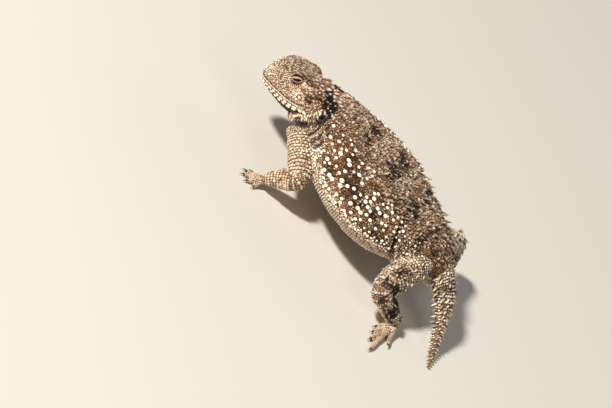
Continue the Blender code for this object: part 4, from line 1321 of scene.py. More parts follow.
def grow(name, layers, material, slot="skin"):
    """One piece of the coat from layers of scales, with its markings and its bake map."""
    layers = [layer for layer in layers if len(layer.roots)]
    points, faces, marks, relief, flat, count = [], [], [], [], [], 0
    everywhere = Places(np.vstack([layer.roots.points for layer in layers]))
    homes = unwrapped(everywhere)
    used = 0
    for layer in layers:
        shape, triangles = layer.shape
        many, each = len(layer.roots), len(shape)
        points.append(layer.points().reshape(-1, 3))
        faces.append((triangles[None] + (count + np.arange(many) * each)[:, None, None]).reshape(-1, 3))
        marks.append(np.repeat(layer.marks, each, axis=0))
        # Each point's height from gap to tip, which the scale material turns into painted shade at the root
        # and painted light at the tip.
        height = np.clip(np.tile(shape[:, 2], many), 0.0, 1.0)
        tone = np.repeat(layer.tone, each)
        relief.append(np.column_stack([height, tone, np.zeros_like(tone), np.ones_like(tone)]))
        home = np.repeat(homes[used:used + many], each, axis=0)
        flat.append(home + np.tile(shape[:, :2], (many, 1)) * MAP_PATCH)
        count += many * each
        used += many
    obj = build_mesh(name, np.vstack(points), np.vstack(faces), np.vstack(marks), np.vstack(relief))
    corner_uv(obj.data, np.vstack(flat))
    print(name, used, "scales", len(obj.data.polygons), "triangles")
    return finish_piece(obj, material, slot)


# ---- materials ----

# The Mix node's factor and colours, by number because its names also stand for its numbers and vectors.
FACTOR, UNDER, OVER, MIXED = 0, 6, 7, 2
MIX = {"data_type": "RGBA"}
MULTIPLY = {"data_type": "RGBA", "blend_type": "MULTIPLY"}
# Painted shade and painted light: how much the gap round a scale darkens its colour, and how much its tip
# brightens it.
GAP_SHADE = (0.13, 0.07, 0.035, 1)
TIP_PAINTED_LIGHT = (1.28, 1.28, 1.28, 1)
# Painted shade on the skin seen between scales: warmer and darker than the scales, as light reaches it only
# off the warm scales round it.
SKIN_GAP_WARM_SHADE = (1.0, 0.72, 0.48, 1)
SKIN_GRAIN, SKIN_GRAIN_DEPTH = 0.45 * MM, 0.12 * MM
PUPIL = "#0d0a0a"


def add_node(tree, kind, inputs, **settings):
    """Adds a node with its settings, and gives each input a value or a link from an output."""
    node = tree.nodes.new(kind)
    for key, value in settings.items():
        setattr(node, key, value)
    for key, value in inputs.items():
        if isinstance(value, bpy.types.NodeSocket):
            tree.links.new(value, node.inputs[key])
        else:
            node.inputs[key].default_value = value
    return node


def new_material(name, roughness, specular, colour=(0.8, 0.8, 0.8)):
    """The material of that name, with its tree and shader if it is new and still to be painted."""
    material = bpy.data.materials.get(name)
    if material:
        return material, None, None
    material = bpy.data.materials.new(name)
    material.use_nodes = True
    shader = material.node_tree.nodes["Principled BSDF"]
    shader.inputs["Base Color"].default_value = (*colour, 1)
    shader.inputs["Roughness"].default_value = roughness
    shader.inputs["Specular IOR Level"].default_value = specular
    return material, material.node_tree, shader


def colours():
    return bpy.context.scene.lizard_colours


def sizes():
    return bpy.context.scene.lizard_sizes


def marked_colour(tree):
    """The colour of the place: sand, with the rosy, warm, pale and dark shares of the markings over it."""
    tone = colours()
    marks = add_node(tree, "ShaderNodeAttribute", {}, attribute_name="markings")
    split = add_node(tree, "ShaderNodeSeparateColor", {0: marks.outputs["Color"]})
    colour = (*tone.sand, 1)
    for share, over in (
        (marks.outputs["Alpha"], tone.rose),
        (split.outputs["Blue"], tone.rust),
        (split.outputs["Green"], tone.cream),
        (split.outputs["Red"], tone.soot),
    ):
        mixed = add_node(tree, "ShaderNodeMix", {FACTOR: share, UNDER: colour, OVER: (*over, 1)}, **MIX)
        colour = mixed.outputs[MIXED]
    return colour


def dimmed(tree, colour, level):
    """The colour times a level of grey."""
    even = add_node(tree, "ShaderNodeCombineColor", {0: level, 1: level, 2: level})
    inputs = {FACTOR: 1.0, UNDER: colour, OVER: even.outputs[0]}
    return add_node(tree, "ShaderNodeMix", inputs, **MULTIPLY).outputs[MIXED]


def keratin_scales():
    """Keratin of small reptile scales, grown and a little dusty: soft broad highlights, with painted shade
    deep in the gaps and painted light on the tips.
    """
    material, tree, shader = new_material("keratin scales", 0.58, 0.28)
    if tree:
        relief = add_node(tree, "ShaderNodeAttribute", {}, attribute_name="relief")
        form = add_node(tree, "ShaderNodeSeparateColor", {0: relief.outputs["Color"]})
        # The tone of a scale from dull to bright, and the painted shade of its root and the painted light of
        # its tip.
        tone = add_node(tree, "ShaderNodeMapRange", {0: form.outputs["Green"], "To Min": 0.5, "To Max": 1.35})
        ends = {FACTOR: form.outputs["Red"], UNDER: GAP_SHADE, OVER: TIP_PAINTED_LIGHT}
        shade = add_node(tree, "ShaderNodeMix", ends, **MIX)
        colour = dimmed(tree, marked_colour(tree), tone.outputs[0])
        inputs = {FACTOR: 1.0, UNDER: colour, OVER: shade.outputs[MIXED]}
        finished = add_node(tree, "ShaderNodeMix", inputs, **MULTIPLY)
        tree.links.new(finished.outputs[MIXED], shader.inputs["Base Color"])
    return material


def reptile_skin():
    """Thin skin between the scales, folded and matte, with a fine grain that breaks its light, darkened and
    warmed with painted shade as it shows only in the gaps.
    """
    material, tree, shader = new_material("reptile skin", 0.75, 0.3)
    if tree:
        place = add_node(tree, "ShaderNodeTexCoord", {})
        inputs = {"Vector": place.outputs["Object"], "Scale": 1 / SKIN_GRAIN}
        grain = add_node(tree, "ShaderNodeTexVoronoi", inputs).outputs["Distance"]
        # The grain, kept dark throughout: painted shade of the gaps in which the skin shows.
        shade = add_node(tree, "ShaderNodeMapRange", {0: grain, "To Min": 0.3, "To Max": 0.12})
        colour = dimmed(tree, marked_colour(tree), shade.outputs[0])
        inputs = {FACTOR: 1.0, UNDER: colour, OVER: SKIN_GAP_WARM_SHADE}
        finished = add_node(tree, "ShaderNodeMix", inputs, **MULTIPLY)
        tree.links.new(finished.outputs[MIXED], shader.inputs["Base Color"])
        inputs = {"Height": grain, "Strength": 0.5, "Distance": SKIN_GRAIN_DEPTH}
        height = add_node(tree, "ShaderNodeBump", inputs, invert=True)
        tree.links.new(height.outputs[0], shader.inputs["Normal"])
    return material


def hard_keratin(name, colour, roughness, mottle):
    """Solid keratin of horns and claws, polished by use: mottled, darker at the root, with a satin shine."""
    material, tree, shader = new_material(name, roughness, 0.5)
    if tree:
        place = add_node(tree, "ShaderNodeTexCoord", {})
        inputs = {"Vector": place.outputs["Object"], "Scale": 1 / (mottle * MM), "Detail": 3.0}
        grain = add_node(tree, "ShaderNodeTexNoise", inputs)
        darker = tuple(part * 0.5 for part in colour)
        inputs = {FACTOR: grain.outputs["Fac"], UNDER: (*darker, 1), OVER: (*colour, 1)}
        made = add_node(tree, "ShaderNodeMix", inputs, **MIX)
        grown = add_node(tree, "ShaderNodeAttribute", {}, attribute_name="relief")
        age = add_node(tree, "ShaderNodeMapRange", {0: grown.outputs["Fac"], "To Min": 0.25, "To Max": 1.1})
        finished = dimmed(tree, made.outputs[MIXED], age.outputs[0])
        tree.links.new(finished, shader.inputs["Base Color"])
    return material


def wet_eye():
    """Eyeball under a wet cornea: black pupil, dark brown iris, and a sharp small highlight."""
    material, tree, shader = new_material("wet eye", 0.12, 0.3)
    if tree:
        place = add_node(tree, "ShaderNodeAttribute", {}, attribute_name="relief")
        split = add_node(tree, "ShaderNodeSeparateColor", {0: place.outputs["Color"]})
        inputs = {0: split.outputs["Red"], "From Min": 0.40, "From Max": 0.46}
        ring = add_node(tree, "ShaderNodeMapRange", inputs)
        inputs = {FACTOR: ring.outputs[0], UNDER: (*linear(PUPIL), 1), OVER: (*colours().iris, 1)}
        colour = add_node(tree, "ShaderNodeMix", inputs, **MIX)
        tree.links.new(colour.outputs[MIXED], shader.inputs["Base Color"])
    return material


def moist_lip_skin():
    """Skin of the mouth line: dark, moist and smooth, seen as a thin rusty line."""
    return new_material("moist lip skin", 0.4, 0.5, colours().mouth)[0]


def matte_paper():
    """Matte paper of the floor: evenly pale, so it takes soft shadows and shines nowhere."""
    return new_material("matte paper", 0.95, 0.1, colours().floor)[0]


# ---- operators ----

# Height and tone that the bare skin has where a scale would have its own.
SKIN_RELIEF = (0.3, 0.5, 0.0, 1.0)
FACE_SEED, NECK_SEED, TRUNK_SEED, TAIL_SEED, LIMB_SEED, HEAD_SEED = 3, 9, 5, 6, 8, 9


class PieceOperator(bpy.types.Operator):
    bl_options = {"REGISTER", "UNDO"}


class LIZARD_OT_skin(PieceOperator):
    """Draw one skin over all the flesh"""
    bl_idname = "lizard.skin"
    bl_label = "Skin"

    def execute(self, context):
        make_skin(sizes().voxel / MM)
        places = skin["places"]
        marks = markings(places)
        relief = np.tile(SKIN_RELIEF, (len(marks), 1))
        obj = build_mesh("skin", skin["points"], skin["faces"], marks, relief)
        nodes = [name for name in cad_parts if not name.startswith(("eye", "horn"))]
        finish_piece(obj, reptile_skin(), "skin", *nodes)
        print("skin", len(obj.data.polygons), "squares")
        return {"FINISHED"}


class LIZARD_OT_eyes(PieceOperator):
    """Set the eyes deep under their lids"""
    bl_idname = "lizard.eyes"
    bl_label = "Eyes"

    def execute(self, context):
        material = wet_eye()
        for side, word in SIDES:
            points, faces = ball((0, 0, 0), (EYE_RADIUS,) * 3, 32)
            three = [(face[0], face[k], face[k + 1]) for face in faces for k in range(1, len(face) - 1)]
            away = np.hypot(points[:, 0], points[:, 2])
            tint = grey(np.where(points[:, 1] * side > 0, away / EYE_RADIUS, 1.0))
            # Round the opening the ball draws back, so that no fold of a lid shows it.
            points[:, 1] -= side * 0.85 * ease(away, EYE_OPENING, 1.95)
            points = from_head(points + mirrored(EYE_PLACE, side))
            obj = build_mesh("eyeball_" + word, points, three, tint, tint)
            finish_piece(obj, material, "eye", "eye_" + word)
        return {"FINISHED"}


LID_STEPS, LID_TURNS = 17, 72
# Half length of the slit between the lids, and its height above and below its middle.
SLIT = (1.55, 0.36, 0.44)
# The same of the outer edge of the lids.
LID_REACH = (2.75, 2.3, 2.3)
LID_GRANULE_ROWS = (12, 14, 15)
# How far out rays to the flesh behind the lids start.
RAY_START = 14.0


def lid_grid(side):
    """Rings from the slit of the eye outwards over both lids, and how each is painted."""
    tree = skin["closed"]
    turns = turns_of(LID_TURNS)
    c, s = np.cos(turns), np.sin(turns)
    upper, lower = np.clip(s, 0, 1) ** 0.6, np.clip(-s, 0, 1) ** 0.6
    hood = np.clip(np.cos(turns - math.radians(74)) * 1.6, 0, 1)
    bag = np.clip(np.cos(turns - math.radians(262)), 0, 1) ** 1.6
    way = Vector(head_way((0.0, -side, 0.0)))
    points, marks, relief = [], [], []
    for share in np.linspace(0, 1, LID_STEPS):
        wider = max(share - 0.08, 0.0) / 0.92
        long = SLIT[0] + (LID_REACH[0] - SLIT[0]) * wider
        # The opening is a half moon, straight above and widest behind.
        gape = np.where(s > 0, SLIT[1] * (1 + 0.3 * c), SLIT[2] * (1 + 0.4 * c))
        high = gape + (np.where(s > 0, LID_REACH[1], LID_REACH[2]) - gape) * wider
        u, v = long * c, high * s
        x = u * math.cos(EYE_TILT) - v * math.sin(EYE_TILT)
        z = u * math.sin(EYE_TILT) + v * math.cos(EYE_TILT)
        dome = np.sqrt(np.maximum(EYE_RADIUS**2 - x**2 - z**2, 0.3))
        fold = hood * bump(share, 0.58, 0.13)
        fold = fold + 0.8 * bag * bump(share, 0.6, 0.1) + 0.4 * bag**2 * bump(share, 0.82, 0.06)
        swell = 0.34 * upper * bump(share, 0.27, 0.17) + 0.26 * lower * bump(share, 0.24, 0.13)
        starts = np.column_stack([x + EYE_PLACE[0], np.full_like(x, RAY_START * side), z + EYE_PLACE[2]])
        hits = [tuple(tree.ray_cast(Vector(start), way, RAY_START)[0]) for start in from_head(starts)]
        flesh = to_head(hits)[:, 1] * side - EYE_PLACE[1]
        over = np.maximum(dome + 0.1 + 0.36 * ease(share, 0.0, 0.12), flesh - 0.5 * (1 - share))
        blend = ease(share, 0.4, 0.9)
        y = over * (1 - blend) + (flesh + 0.08) * blend + swell - 0.8 * fold - 0.3 * (share > 0.97)
        points.append(np.column_stack([x, y * side, z]) + mirrored(EYE_PLACE, side))
        band = 1 - ease(share, 0.42, 0.56)
        rim = bump(share, 0.34, 0.09)
        # Painted shadow in the folds above and below the lids, and painted shade along the edge of the slit;
        # the lower lid is also darker in its own colour, save for a paler rim.
        dark = np.clip(2.0 * fold + 0.55 * bump(share, 0.0, 0.1) + lower * band * (0.48 - 0.46 * rim), 0, 1)
        warm = 0.12 + 0.95 * upper * band
        pale = 0.1 + (0.3 * rim + 0.08 * upper) * band
        marks.append(np.column_stack([dark, pale, warm, 0.8 - 0.5 * lower * band]))
        # Relief for the painted shade of the material: lower in the folds, and lowest on the outer part of
        # the lids, between their granules.
        height = np.clip(0.6 - 0.15 * lower - 0.6 * fold, 0, 1) * (1 - 0.7 * ease(share, 0.58, 0.7))
        even = np.ones(LID_TURNS)
        relief.append(np.column_stack([height, even * 0.6, even * 0, even]))
    return np.array([from_head(ring) for ring in points]), np.array(marks), np.array(relief)


def grid_faces(rows, columns, flipped):
    """Squares between rings of points that close on themselves."""
    i, k = np.meshgrid(np.arange(rows - 1), np.arange(columns), indexing="ij")
    near, far = i * columns, (i + 1) * columns
    after = (k + 1) % columns
    faces = np.stack([near + k, near + after, far + after, far + k], axis=-1).reshape(-1, 4)
    return faces[:, ::-1] if flipped else faces


def lid_granules(grid, marks, side, draws):
    """Roots of the granules on the outer part of the lids."""
    rows = np.array(LID_GRANULE_ROWS)
    turns = np.arange(0, LID_TURNS, 3)
    ahead = grid[np.minimum(rows + 1, LID_STEPS - 1)] - grid[rows - 1]
    around = np.roll(grid[rows], -1, axis=1) - np.roll(grid[rows], 1, axis=1)
    out = np.cross(around, ahead)[:, turns] * side
    spots = (rows[:, None], turns[None, :])
    roots = Roots(grid[spots], out)
    return scales("lid", roots, draws, marks[spots].reshape(-1, 4))


# Rows of scutes along the mouth: rise from its line, length, width and height of one, palest share, tone, and
# how far back the row runs.
LIP_ROWS = (
    (0.62, 0.62, 0.52, 0.26, 0.62, 0.6, MOUTH_END - 0.5),
    (-0.55, 0.62, 0.55, 0.24, 0.8, 0.6, MOUTH_END),
    (-1.5, 2.0, 0.72, 0.6, 1.0, 0.95, MOUTH_END + 1.0),
    (-2.6, 2.1, 0.66, 0.5, 0.95, 0.85, MOUTH_END - 1.0),
)
MOUTH_STEPS = 61
JAW_CORNER = (20.6, 10.2, -0.6)


def scute_row(draws, rise, length, width, height, pale, tone, last):
    """One row of scutes along the mouth; those of the jaw are longer than the granules of the lips."""
    jaw = length > 1
    steps = mouth_line(rise, last, 400)
    _, travelled = travelled_along(steps)
    count = int(travelled[-1] / (length * 1.02))
    stops = (np.arange(count) + 0.5) / count * travelled[-1]
    line = np.column_stack([np.interp(stops, travelled, steps[:, n]) for n in range(3)])
    line[:, 2] -= np.where(np.abs(line[:, 1]) < 2.0, 0.25 * abs(min(rise, 0)), 0.0)
    roots = nearest_roots(from_head(line))
    even = np.ones(count)
    way = head_way(unit(np.column_stack([even, np.sign(line[:, 1]) * 0.55, even * 0])))
    grown = np.interp(line[:, 0], (0, MOUTH_END), (0.7, 1.15)) if jaw else even
    size = np.column_stack([even * length * 0.98, width * grown, height * grown])
    size *= draws.uniform(0.92, 1.08, (count, 1))
    marks = np.column_stack([
        draws.uniform(0, 0.12, count),
        draws.uniform(pale - 0.25, pale, count),
        draws.uniform(0.1, 0.12 if jaw else 0.9, count),
        even * 0.3,
    ])
    take(roots.points, width * 0.42)
    if jaw:
        ends = (roots.points - way * length * 0.3, roots.points + way * length * 0.3)
        take(np.vstack(ends), width * 0.42)
    bright = draws.uniform(tone - 0.1, tone + 0.15, count)
    return Layer(PLATE, roots, size, -6.0 if jaw else 0.0, bright, marks, way)


class LIZARD_OT_face(PieceOperator):
    """Shape the lids, the line of the mouth and the scutes of the lips and jaw"""
    bl_idname = "lizard.face"
    bl_label = "Face"

    def execute(self, context):
        skin_ready()
        draws = np.random.default_rng(FACE_SEED)
        material = keratin_scales()
        layers = []
        for side, word in SIDES:
            grid, marks, relief = lid_grid(side)
            faces = grid_faces(LID_STEPS, LID_TURNS, side > 0)
            flat = [part.reshape(-1, part.shape[-1]) for part in (grid, marks, relief)]
            finish_piece(build_mesh("eyelids_" + word, flat[0], faces, *flat[1:]), material, "skin")
            layers.append(lid_granules(grid, marks, side, draws))
            take(from_head(mirrored((EYE_PLACE[0], 7.6, EYE_PLACE[2]), side)[None]), 2.25)
        surface = nearest_roots(from_head(mouth_line(0.0, MOUTH_END, MOUTH_STEPS)))
        path = np.column_stack([surface.points + surface.out * 0.02, np.full((MOUTH_STEPS, 2), 0.2)])
        rounds, faces = tube([tuple(row) for row in path], (0, 0, 1), 8, 1)
        faces = [face for face in faces if len(face) == 4]
        finish_piece(build_mesh("mouth_line", rounds, faces, None, None), moist_lip_skin(), "skin")
        take(surface.points, 0.16)
        layers += [scute_row(draws, *row) for row in LIP_ROWS]
        corners = np.array([mirrored(JAW_CORNER, side) for side, _ in SIDES])
        roots = nearest_roots(from_head(corners))
        way = head_way(np.array([mirrored((0.9, 0.3, -0.1), side) for side, _ in SIDES]))
        layers.append(Layer(SPINE, roots, (1.7, 1.3, 2.2), 48.0, 0.95, (0.0, 1.0, 0.05, 0.2), way))
        take(roots.points, 0.9)
        grow("lip_scutes", layers, material)
        return {"FINISHED"}


HORN_KINDS = ("occipital", "temporal_upper", "temporal_middle", "temporal_lower")
HORN_SIDES, HORN_RINGS = 20, 13
CLAW_SIDES, CLAW_RINGS = 10, 9


class LIZARD_OT_horns(PieceOperator):
    """Grow the eight short horns at the back of the head"""
    bl_idname = "lizard.horns"
    bl_label = "Horns"

    def execute(self, context):
        # Horn keratin, grown in rings and worn at the tip: brown, with a faint satin shine.
        material = hard_keratin("horn keratin", tuple(colours().horn), 0.5, 0.9)
        turns = turns_of(HORN_SIDES)
        for kind, (spot, length, way) in zip(HORN_KINDS, HORNS):
            for side, word in SIDES:
                root = nearest_roots(from_head(mirrored(spot, side)[None])).points[0]
                out = unit(head_way(mirrored(way, side)))
                across = unit(np.cross(out, (0.0, 0.0, 1.0)))
                up = np.cross(across, out)
                points = []
                for i in range(HORN_RINGS):
                    share = i / (HORN_RINGS - 1)
                    radius = HORN_RADIUS * 0.74 * (1 - share) ** 0.9 + 0.05
                    radius *= 1 + 0.05 * math.sin(share * 30)
                    centre = root + out * (length * (share * 1.25 - 0.22)) + up * 0.25 * share**2
                    points.append(oval(centre, across, up, radius, radius * 0.85, turns))
                faces = ring_walls(HORN_RINGS, HORN_SIDES)
                grown = grey(np.repeat(np.linspace(-0.3, 1, HORN_RINGS).clip(0, 1), HORN_SIDES))
                obj = build_mesh(f"horn_keratin_{kind}_{word}", np.vstack(points), faces, grown, grown)
                finish_piece(obj, material, "horn", f"horn_{kind}_{word}")
                take(root[None], HORN_RADIUS * 0.8)
        return {"FINISHED"}


class LIZARD_OT_claws(PieceOperator):
    """Grow a curved claw on each digit"""
    bl_idname = "lizard.claws"
    bl_label = "Claws"

    def execute(self, context):
        # Claw keratin, worn smooth by digging: amber brown, glossier than the scales.
        material = hard_keratin("claw keratin", tuple(colours().claw), 0.3, 0.6)
        turns = turns_of(CLAW_SIDES)
        lift = np.array((0.0, 0.0, 1.0))
        for name, side, (_, _, end), _, heading, digits, radius in all_limbs():
            points, faces, grown = [], [], []
            for _, tip, way in digit_rows(end, heading, digits, radius, side):
                across = np.array((-way[1], way[0], 0.0))
                first = len(points) * CLAW_SIDES
                for i in range(CLAW_RINGS):
                    share = i / (CLAW_RINGS - 1)
                    rise = 0.35 * math.sin(share * math.pi) - 0.42 * share**2
                    centre = tip + way * (CLAW_LENGTH * (share * 1.15 - 0.2)) + lift * rise
                    size = CLAW_RADIUS * (1 - share) ** 0.8 + 0.03
                    points.append(oval(centre, across, lift, size * 0.85, size * 1.1, turns))
                    grown += [0.35 + 0.65 * share] * CLAW_SIDES
                faces += [tuple(first + i for i in face) for face in ring_walls(CLAW_RINGS, CLAW_SIDES)]
            tint = grey(np.array(grown))
            obj = build_mesh("claws_" + name, np.vstack(points), faces, tint, tint)
            finish_piece(obj, material, "horn")
        return {"FINISHED"}


def tones(count, draws, centre=0.5, spread=0.17):
    return np.clip(draws.normal(centre, spread, count), 0.0, 1.0)


def varied(count, draws, size, spread=0.12):
    """Sizes round one length, width and height."""
    return np.asarray(size) * draws.normal(1.0, spread, (count, 1)).clip(0.6, 1.5)


def speckled(marks, draws, dark, pale):
    """The markings with that share of the scales turned dark and that share turned pale."""
    luck = draws.random(len(marks))
    marks[luck < dark, 0] = np.maximum(marks[luck < dark, 0], 0.72)
    marks[luck > 1 - pale] = marks[luck > 1 - pale] * (0.3, 1, 0.6, 1) + (0, 0.5, 0, 0)
    return np.clip(marks, 0, 1)


def scales(kind, roots, draws, marks=None, grown=1.0, speckle=None):
    """A layer of one kind of scale, each scale a little different."""
    shape, size, vary, lean, tone, spread = KINDS[kind]
    size = varied(len(roots), draws, size, vary) * grown
    tone = tones(len(roots), draws, tone, spread)
    if speckle:
        marks = speckled(marks, draws, *speckle)
    return Layer(shape, roots, size, lean, tone, marks)


def darkened(marks, more):
    """The markings with their dark share raised by that much."""
    marks[:, 0] = np.clip(marks[:, 0] + more, 0, 1)
    return marks


def row_rays(draws, angles, step, first, last, jitter):
    """Rays to rows along the trunk at those angles from the middle of the back, on both sides."""
    for row, angle in enumerate(angles):
        for side, _ in SIDES:
            for x in np.arange(first + 0.5 * step * (row % 2), last, step):
                place = x + draws.uniform(-jitter, jitter) * step
                height, width, above, below = trunk_section(place)
                turn = math.radians(angle + draws.uniform(-2.5, 2.5))
                y, z = trunk_oval(side * math.sin(turn), math.cos(turn), width, above, below)
                expected = math.hypot(y, z)
                yield (place, 0.0, height), (0.0, y / expected, z / expected), expected, 1.08


def near_to(points, roots, radii):
    """How close each point is to the nearest of the roots: 1 at its middle, 0 beyond its radius."""
    tree = tree_of(roots.points)
    found = np.zeros(len(points))
    for i, point in enumerate(points):
        _, index, distance = tree.find(point)
        found[i] = max(0.0, 1 - distance / radii[index])
    return found


def spiny(roots, tall, draws, lean=28.0, tone=0.7):
    """Large pointed scales, dark at the root and pale at the tip by the painted shade and painted light of
    their material.
    """
    wide = 0.78 + 0.3 * tall
    marks = markings(roots.places) * (0.5, 1, 1, 1)
    marks[:, 0] += 0.55 * (draws.random(len(roots)) < 0.3)
    marks[:, 1] += draws.uniform(0.0, 0.5, len(roots))
    marks = np.clip(marks, 0, 1)
    size = np.column_stack([wide * draws.uniform(1.0, 1.2, len(roots)), wide, tall])
    take(roots.points, wide * 0.44)
    astray = draws.normal(0.0, 0.45, (len(roots), 3))
    leans = draws.normal(lean, 9.0, len(roots))
    bright = tones(len(roots), draws, tone, 0.2)
    return Layer(THORN, roots, size, leans, bright, marks, roots.places.lie + astray)


def of_side(layer, side):
    """The scales of a layer that stand on one side of the body."""
    wanted = layer.roots.points[:, 1] * side >= 0
    return Layer(layer.shape, layer.roots.pick(wanted), layer.size[wanted], np.degrees(layer.lean[wanted]),
                 layer.tone[wanted], layer.marks[wanted], layer.lie[wanted])


def fringe_roots(draws):
    """Roots of the fringe of the throat, in two rows on each side."""
    fringe = []
    stops = np.linspace(0, 1, len(FRINGE_LINE))
    for side, _ in SIDES:
        for row, ahead in enumerate((-0.5, 0.6)):
            for share in np.arange(0.02 + 0.02 * row, 1.0, 0.055):
                spot = [np.interp(share, stops, column) for column in zip(*FRINGE_LINE)]
                spot = np.array((spot[0] + ahead, -spot[1] * side, spot[2]))
                fringe.append(spot + draws.uniform(-0.3, 0.3, 3))
    return nearest_roots(fringe)


class LIZARD_OT_neck_spines(PieceOperator):
    """Set the white fringe of the throat and the rough scales of the nape"""
    bl_idname = "lizard.neck_spines"
    bl_label = "Neck spines"

    def execute(self, context):
        skin_ready()
        draws = np.random.default_rng(NECK_SEED)
        places = skin["places"]
        x, _, z = places.head.T
        fringe = fringe_roots(draws)
        tall = draws.uniform(0.9, 1.9, len(fringe))
        take(fringe.points, 0.4)
        down = np.tile((0.8, 0.2, -0.5), (len(fringe), 1))
        down[:, 1] *= np.sign(fringe.points[:, 1])
        lumps = np.array([(back, out * side, NAPE_HEIGHT) for side, _ in SIDES for back, out in NAPE_LUMPS])
        lumps = nearest_roots(lumps + draws.uniform(-0.4, 0.4, lumps.shape))
        take(lumps.points, 0.7)
        size = np.column_stack([0.7 + 0.4 * tall, 0.6 + 0.3 * tall, tall])
        white = tones(len(fringe), draws, 0.9, 0.1)
        layers = [
            Layer(THORN, fringe, size, 50.0, white, (0.0, 0.92, 0.1, 0.1), down),
            scales("nape lump", lumps, draws, (0.0, 0.72, 0.1, 0.3)),
        ]
        nape = scattered(1.55, places.on("neck") | (places.on("head") & (x > 16.0) & (z > 5.0)), draws)
        in_black = from_line(nape.points, BLACK_LINE) < 2.4
        nape = free_of(nape.pick(~in_black | (draws.random(len(nape)) < 0.3)), 0.35)
        angle = np.abs(nape.places.angle)
        tall = np.where(nape.places.on("neck"), np.interp(angle, (25, 60), (1.5, 0.9)), 0.7)
        tall *= draws.uniform(0.5, 1.15, len(nape)) * np.where(angle > 105, 0.5, 1.0)
        wide = 0.62 + 0.4 * tall
        take(nape.points, wide * 0.42)
        marks = np.clip(markings(nape.places) * (0.35, 1, 1, 1) + (0, 0.35, 0.05, 0), 0, 1)
        size = np.column_stack([wide * 1.2, wide * 0.9, tall])
        layers.append(Layer(THORN, nape, size, 36.0, tones(len(nape), draws, 0.7, 0.15), marks))
        grow("neck_spines", layers, keratin_scales())
        return {"FINISHED"}


def back_spines(draws, tallest):
    """Rows of large spines along the back, tallest towards the rump: their roots and the spines."""
    rows = roots_on(row_rays(draws, *BACK_ROWS), 0.3, "trunk", "neck")
    x, angle = rows.points[:, 0], np.abs(rows.places.angle)
    tall = tallest * np.interp(x, (-58, -48, -34, -24, -14, 8), (0.36, 0.42, 0.55, 0.75, 0.95, 1.0))
    # On the left the rows near the flank are low, and on the right they stand out in the outline.
    lower = np.interp(angle, (0, 40, 56), (1.0, 0.9, 0.5))
    tall *= np.where(rows.points[:, 1] > 0, 1.0, lower) * draws.uniform(0.6, 1.15, len(rows))
    return rows, spiny(rows, tall, draws)


def back_thorns(draws):
    """Middling thorns strewn between the rows of the back: their roots and the thorns."""
    strewn = free_of(ray_hits(trunk_rays(draws, *THORN_FIELD)), 0.45)
    strewn = strewn.pick(strewn.places.on("trunk", "neck") & (draws.random(len(strewn)) > 0.12))
    tall = draws.uniform(0.55, 1.1, len(strewn))
    tall *= np.interp(strewn.points[:, 0], (-58, -30, -10), (0.8, 0.95, 1.45))
    return strewn, spiny(strewn, tall, draws)


def flank_beads(draws, widest):
    """White beads of the flanks: their roots, their widths and the beads."""
    beads = ray_hits(trunk_rays(draws, *BEAD_FIELD))
    x, angle = beads.points[:, 0], np.abs(beads.places.angle)
    stops = (-52, -45, -30, -4)
    reach = ease(angle, np.interp(x, stops, (44, 31, 28, 44)), np.interp(x, stops, (52, 38, 36, 54)))
    # The skin behind the shoulder stays bare.
    bare = bump(x, -50.8, 3.4) * bump(angle, 78, 24)
    reach *= (angle < belly_edge(x)) * (bare < 0.45) * (draws.random(len(beads)) > 0.05)
    beads = beads.pick(beads.places.on("trunk") & (reach > draws.uniform(0.15, 0.6, len(beads))))
    beads = free_of(beads, 0.2)
    x, angle = beads.points[:, 0], np.abs(beads.places.angle)
    width = widest * np.interp(x, (-52, -42, -28, -3), (0.72, 1.0, 1.0, 0.75))
    below = angle - belly_edge(x)
    width *= np.interp(angle, (30, 45), (0.72, 1.0)) * np.interp(below, (-16, -4), (1.0, 0.66))
    width *= draws.uniform(0.74, 1.18, len(beads))
    take(beads.points, width * 0.5)
    white = tones(len(beads), draws, 0.93, 0.06)
    size = width[:, None] * (1.12, 0.92, 0.44)
    return beads, width, Layer(BEAD, beads, size, 8.0, white, (0.0, 0.97, 0.03, 0.0))


def belly_crumbs(draws):
    """Smaller cream beads, crowded along the edge of the belly."""
    crumbs = ray_hits(trunk_rays(draws, *CRUMB_FIELD))
    below = np.abs(crumbs.places.angle) - belly_edge(crumbs.points[:, 0])
    near = (below > draws.uniform(-14, -6, len(crumbs))) & (below < 2)
    crumbs = free_of(crumbs.pick(crumbs.places.on("trunk") & near), 0.12)
    take(crumbs.points, 0.4)
    return scales("crumb", crumbs, draws, (0.0, 0.8, 0.15, 0.0))


def belly_comb(draws):
    """A comb of pale points where the flank meets the belly."""
    comb = roots_on(row_rays(draws, *COMB_ROWS), 0.12, "trunk")
    take(comb.points, 0.42)
    return scales("comb", comb, draws, (0.0, 0.92, 0.1, 0.0))


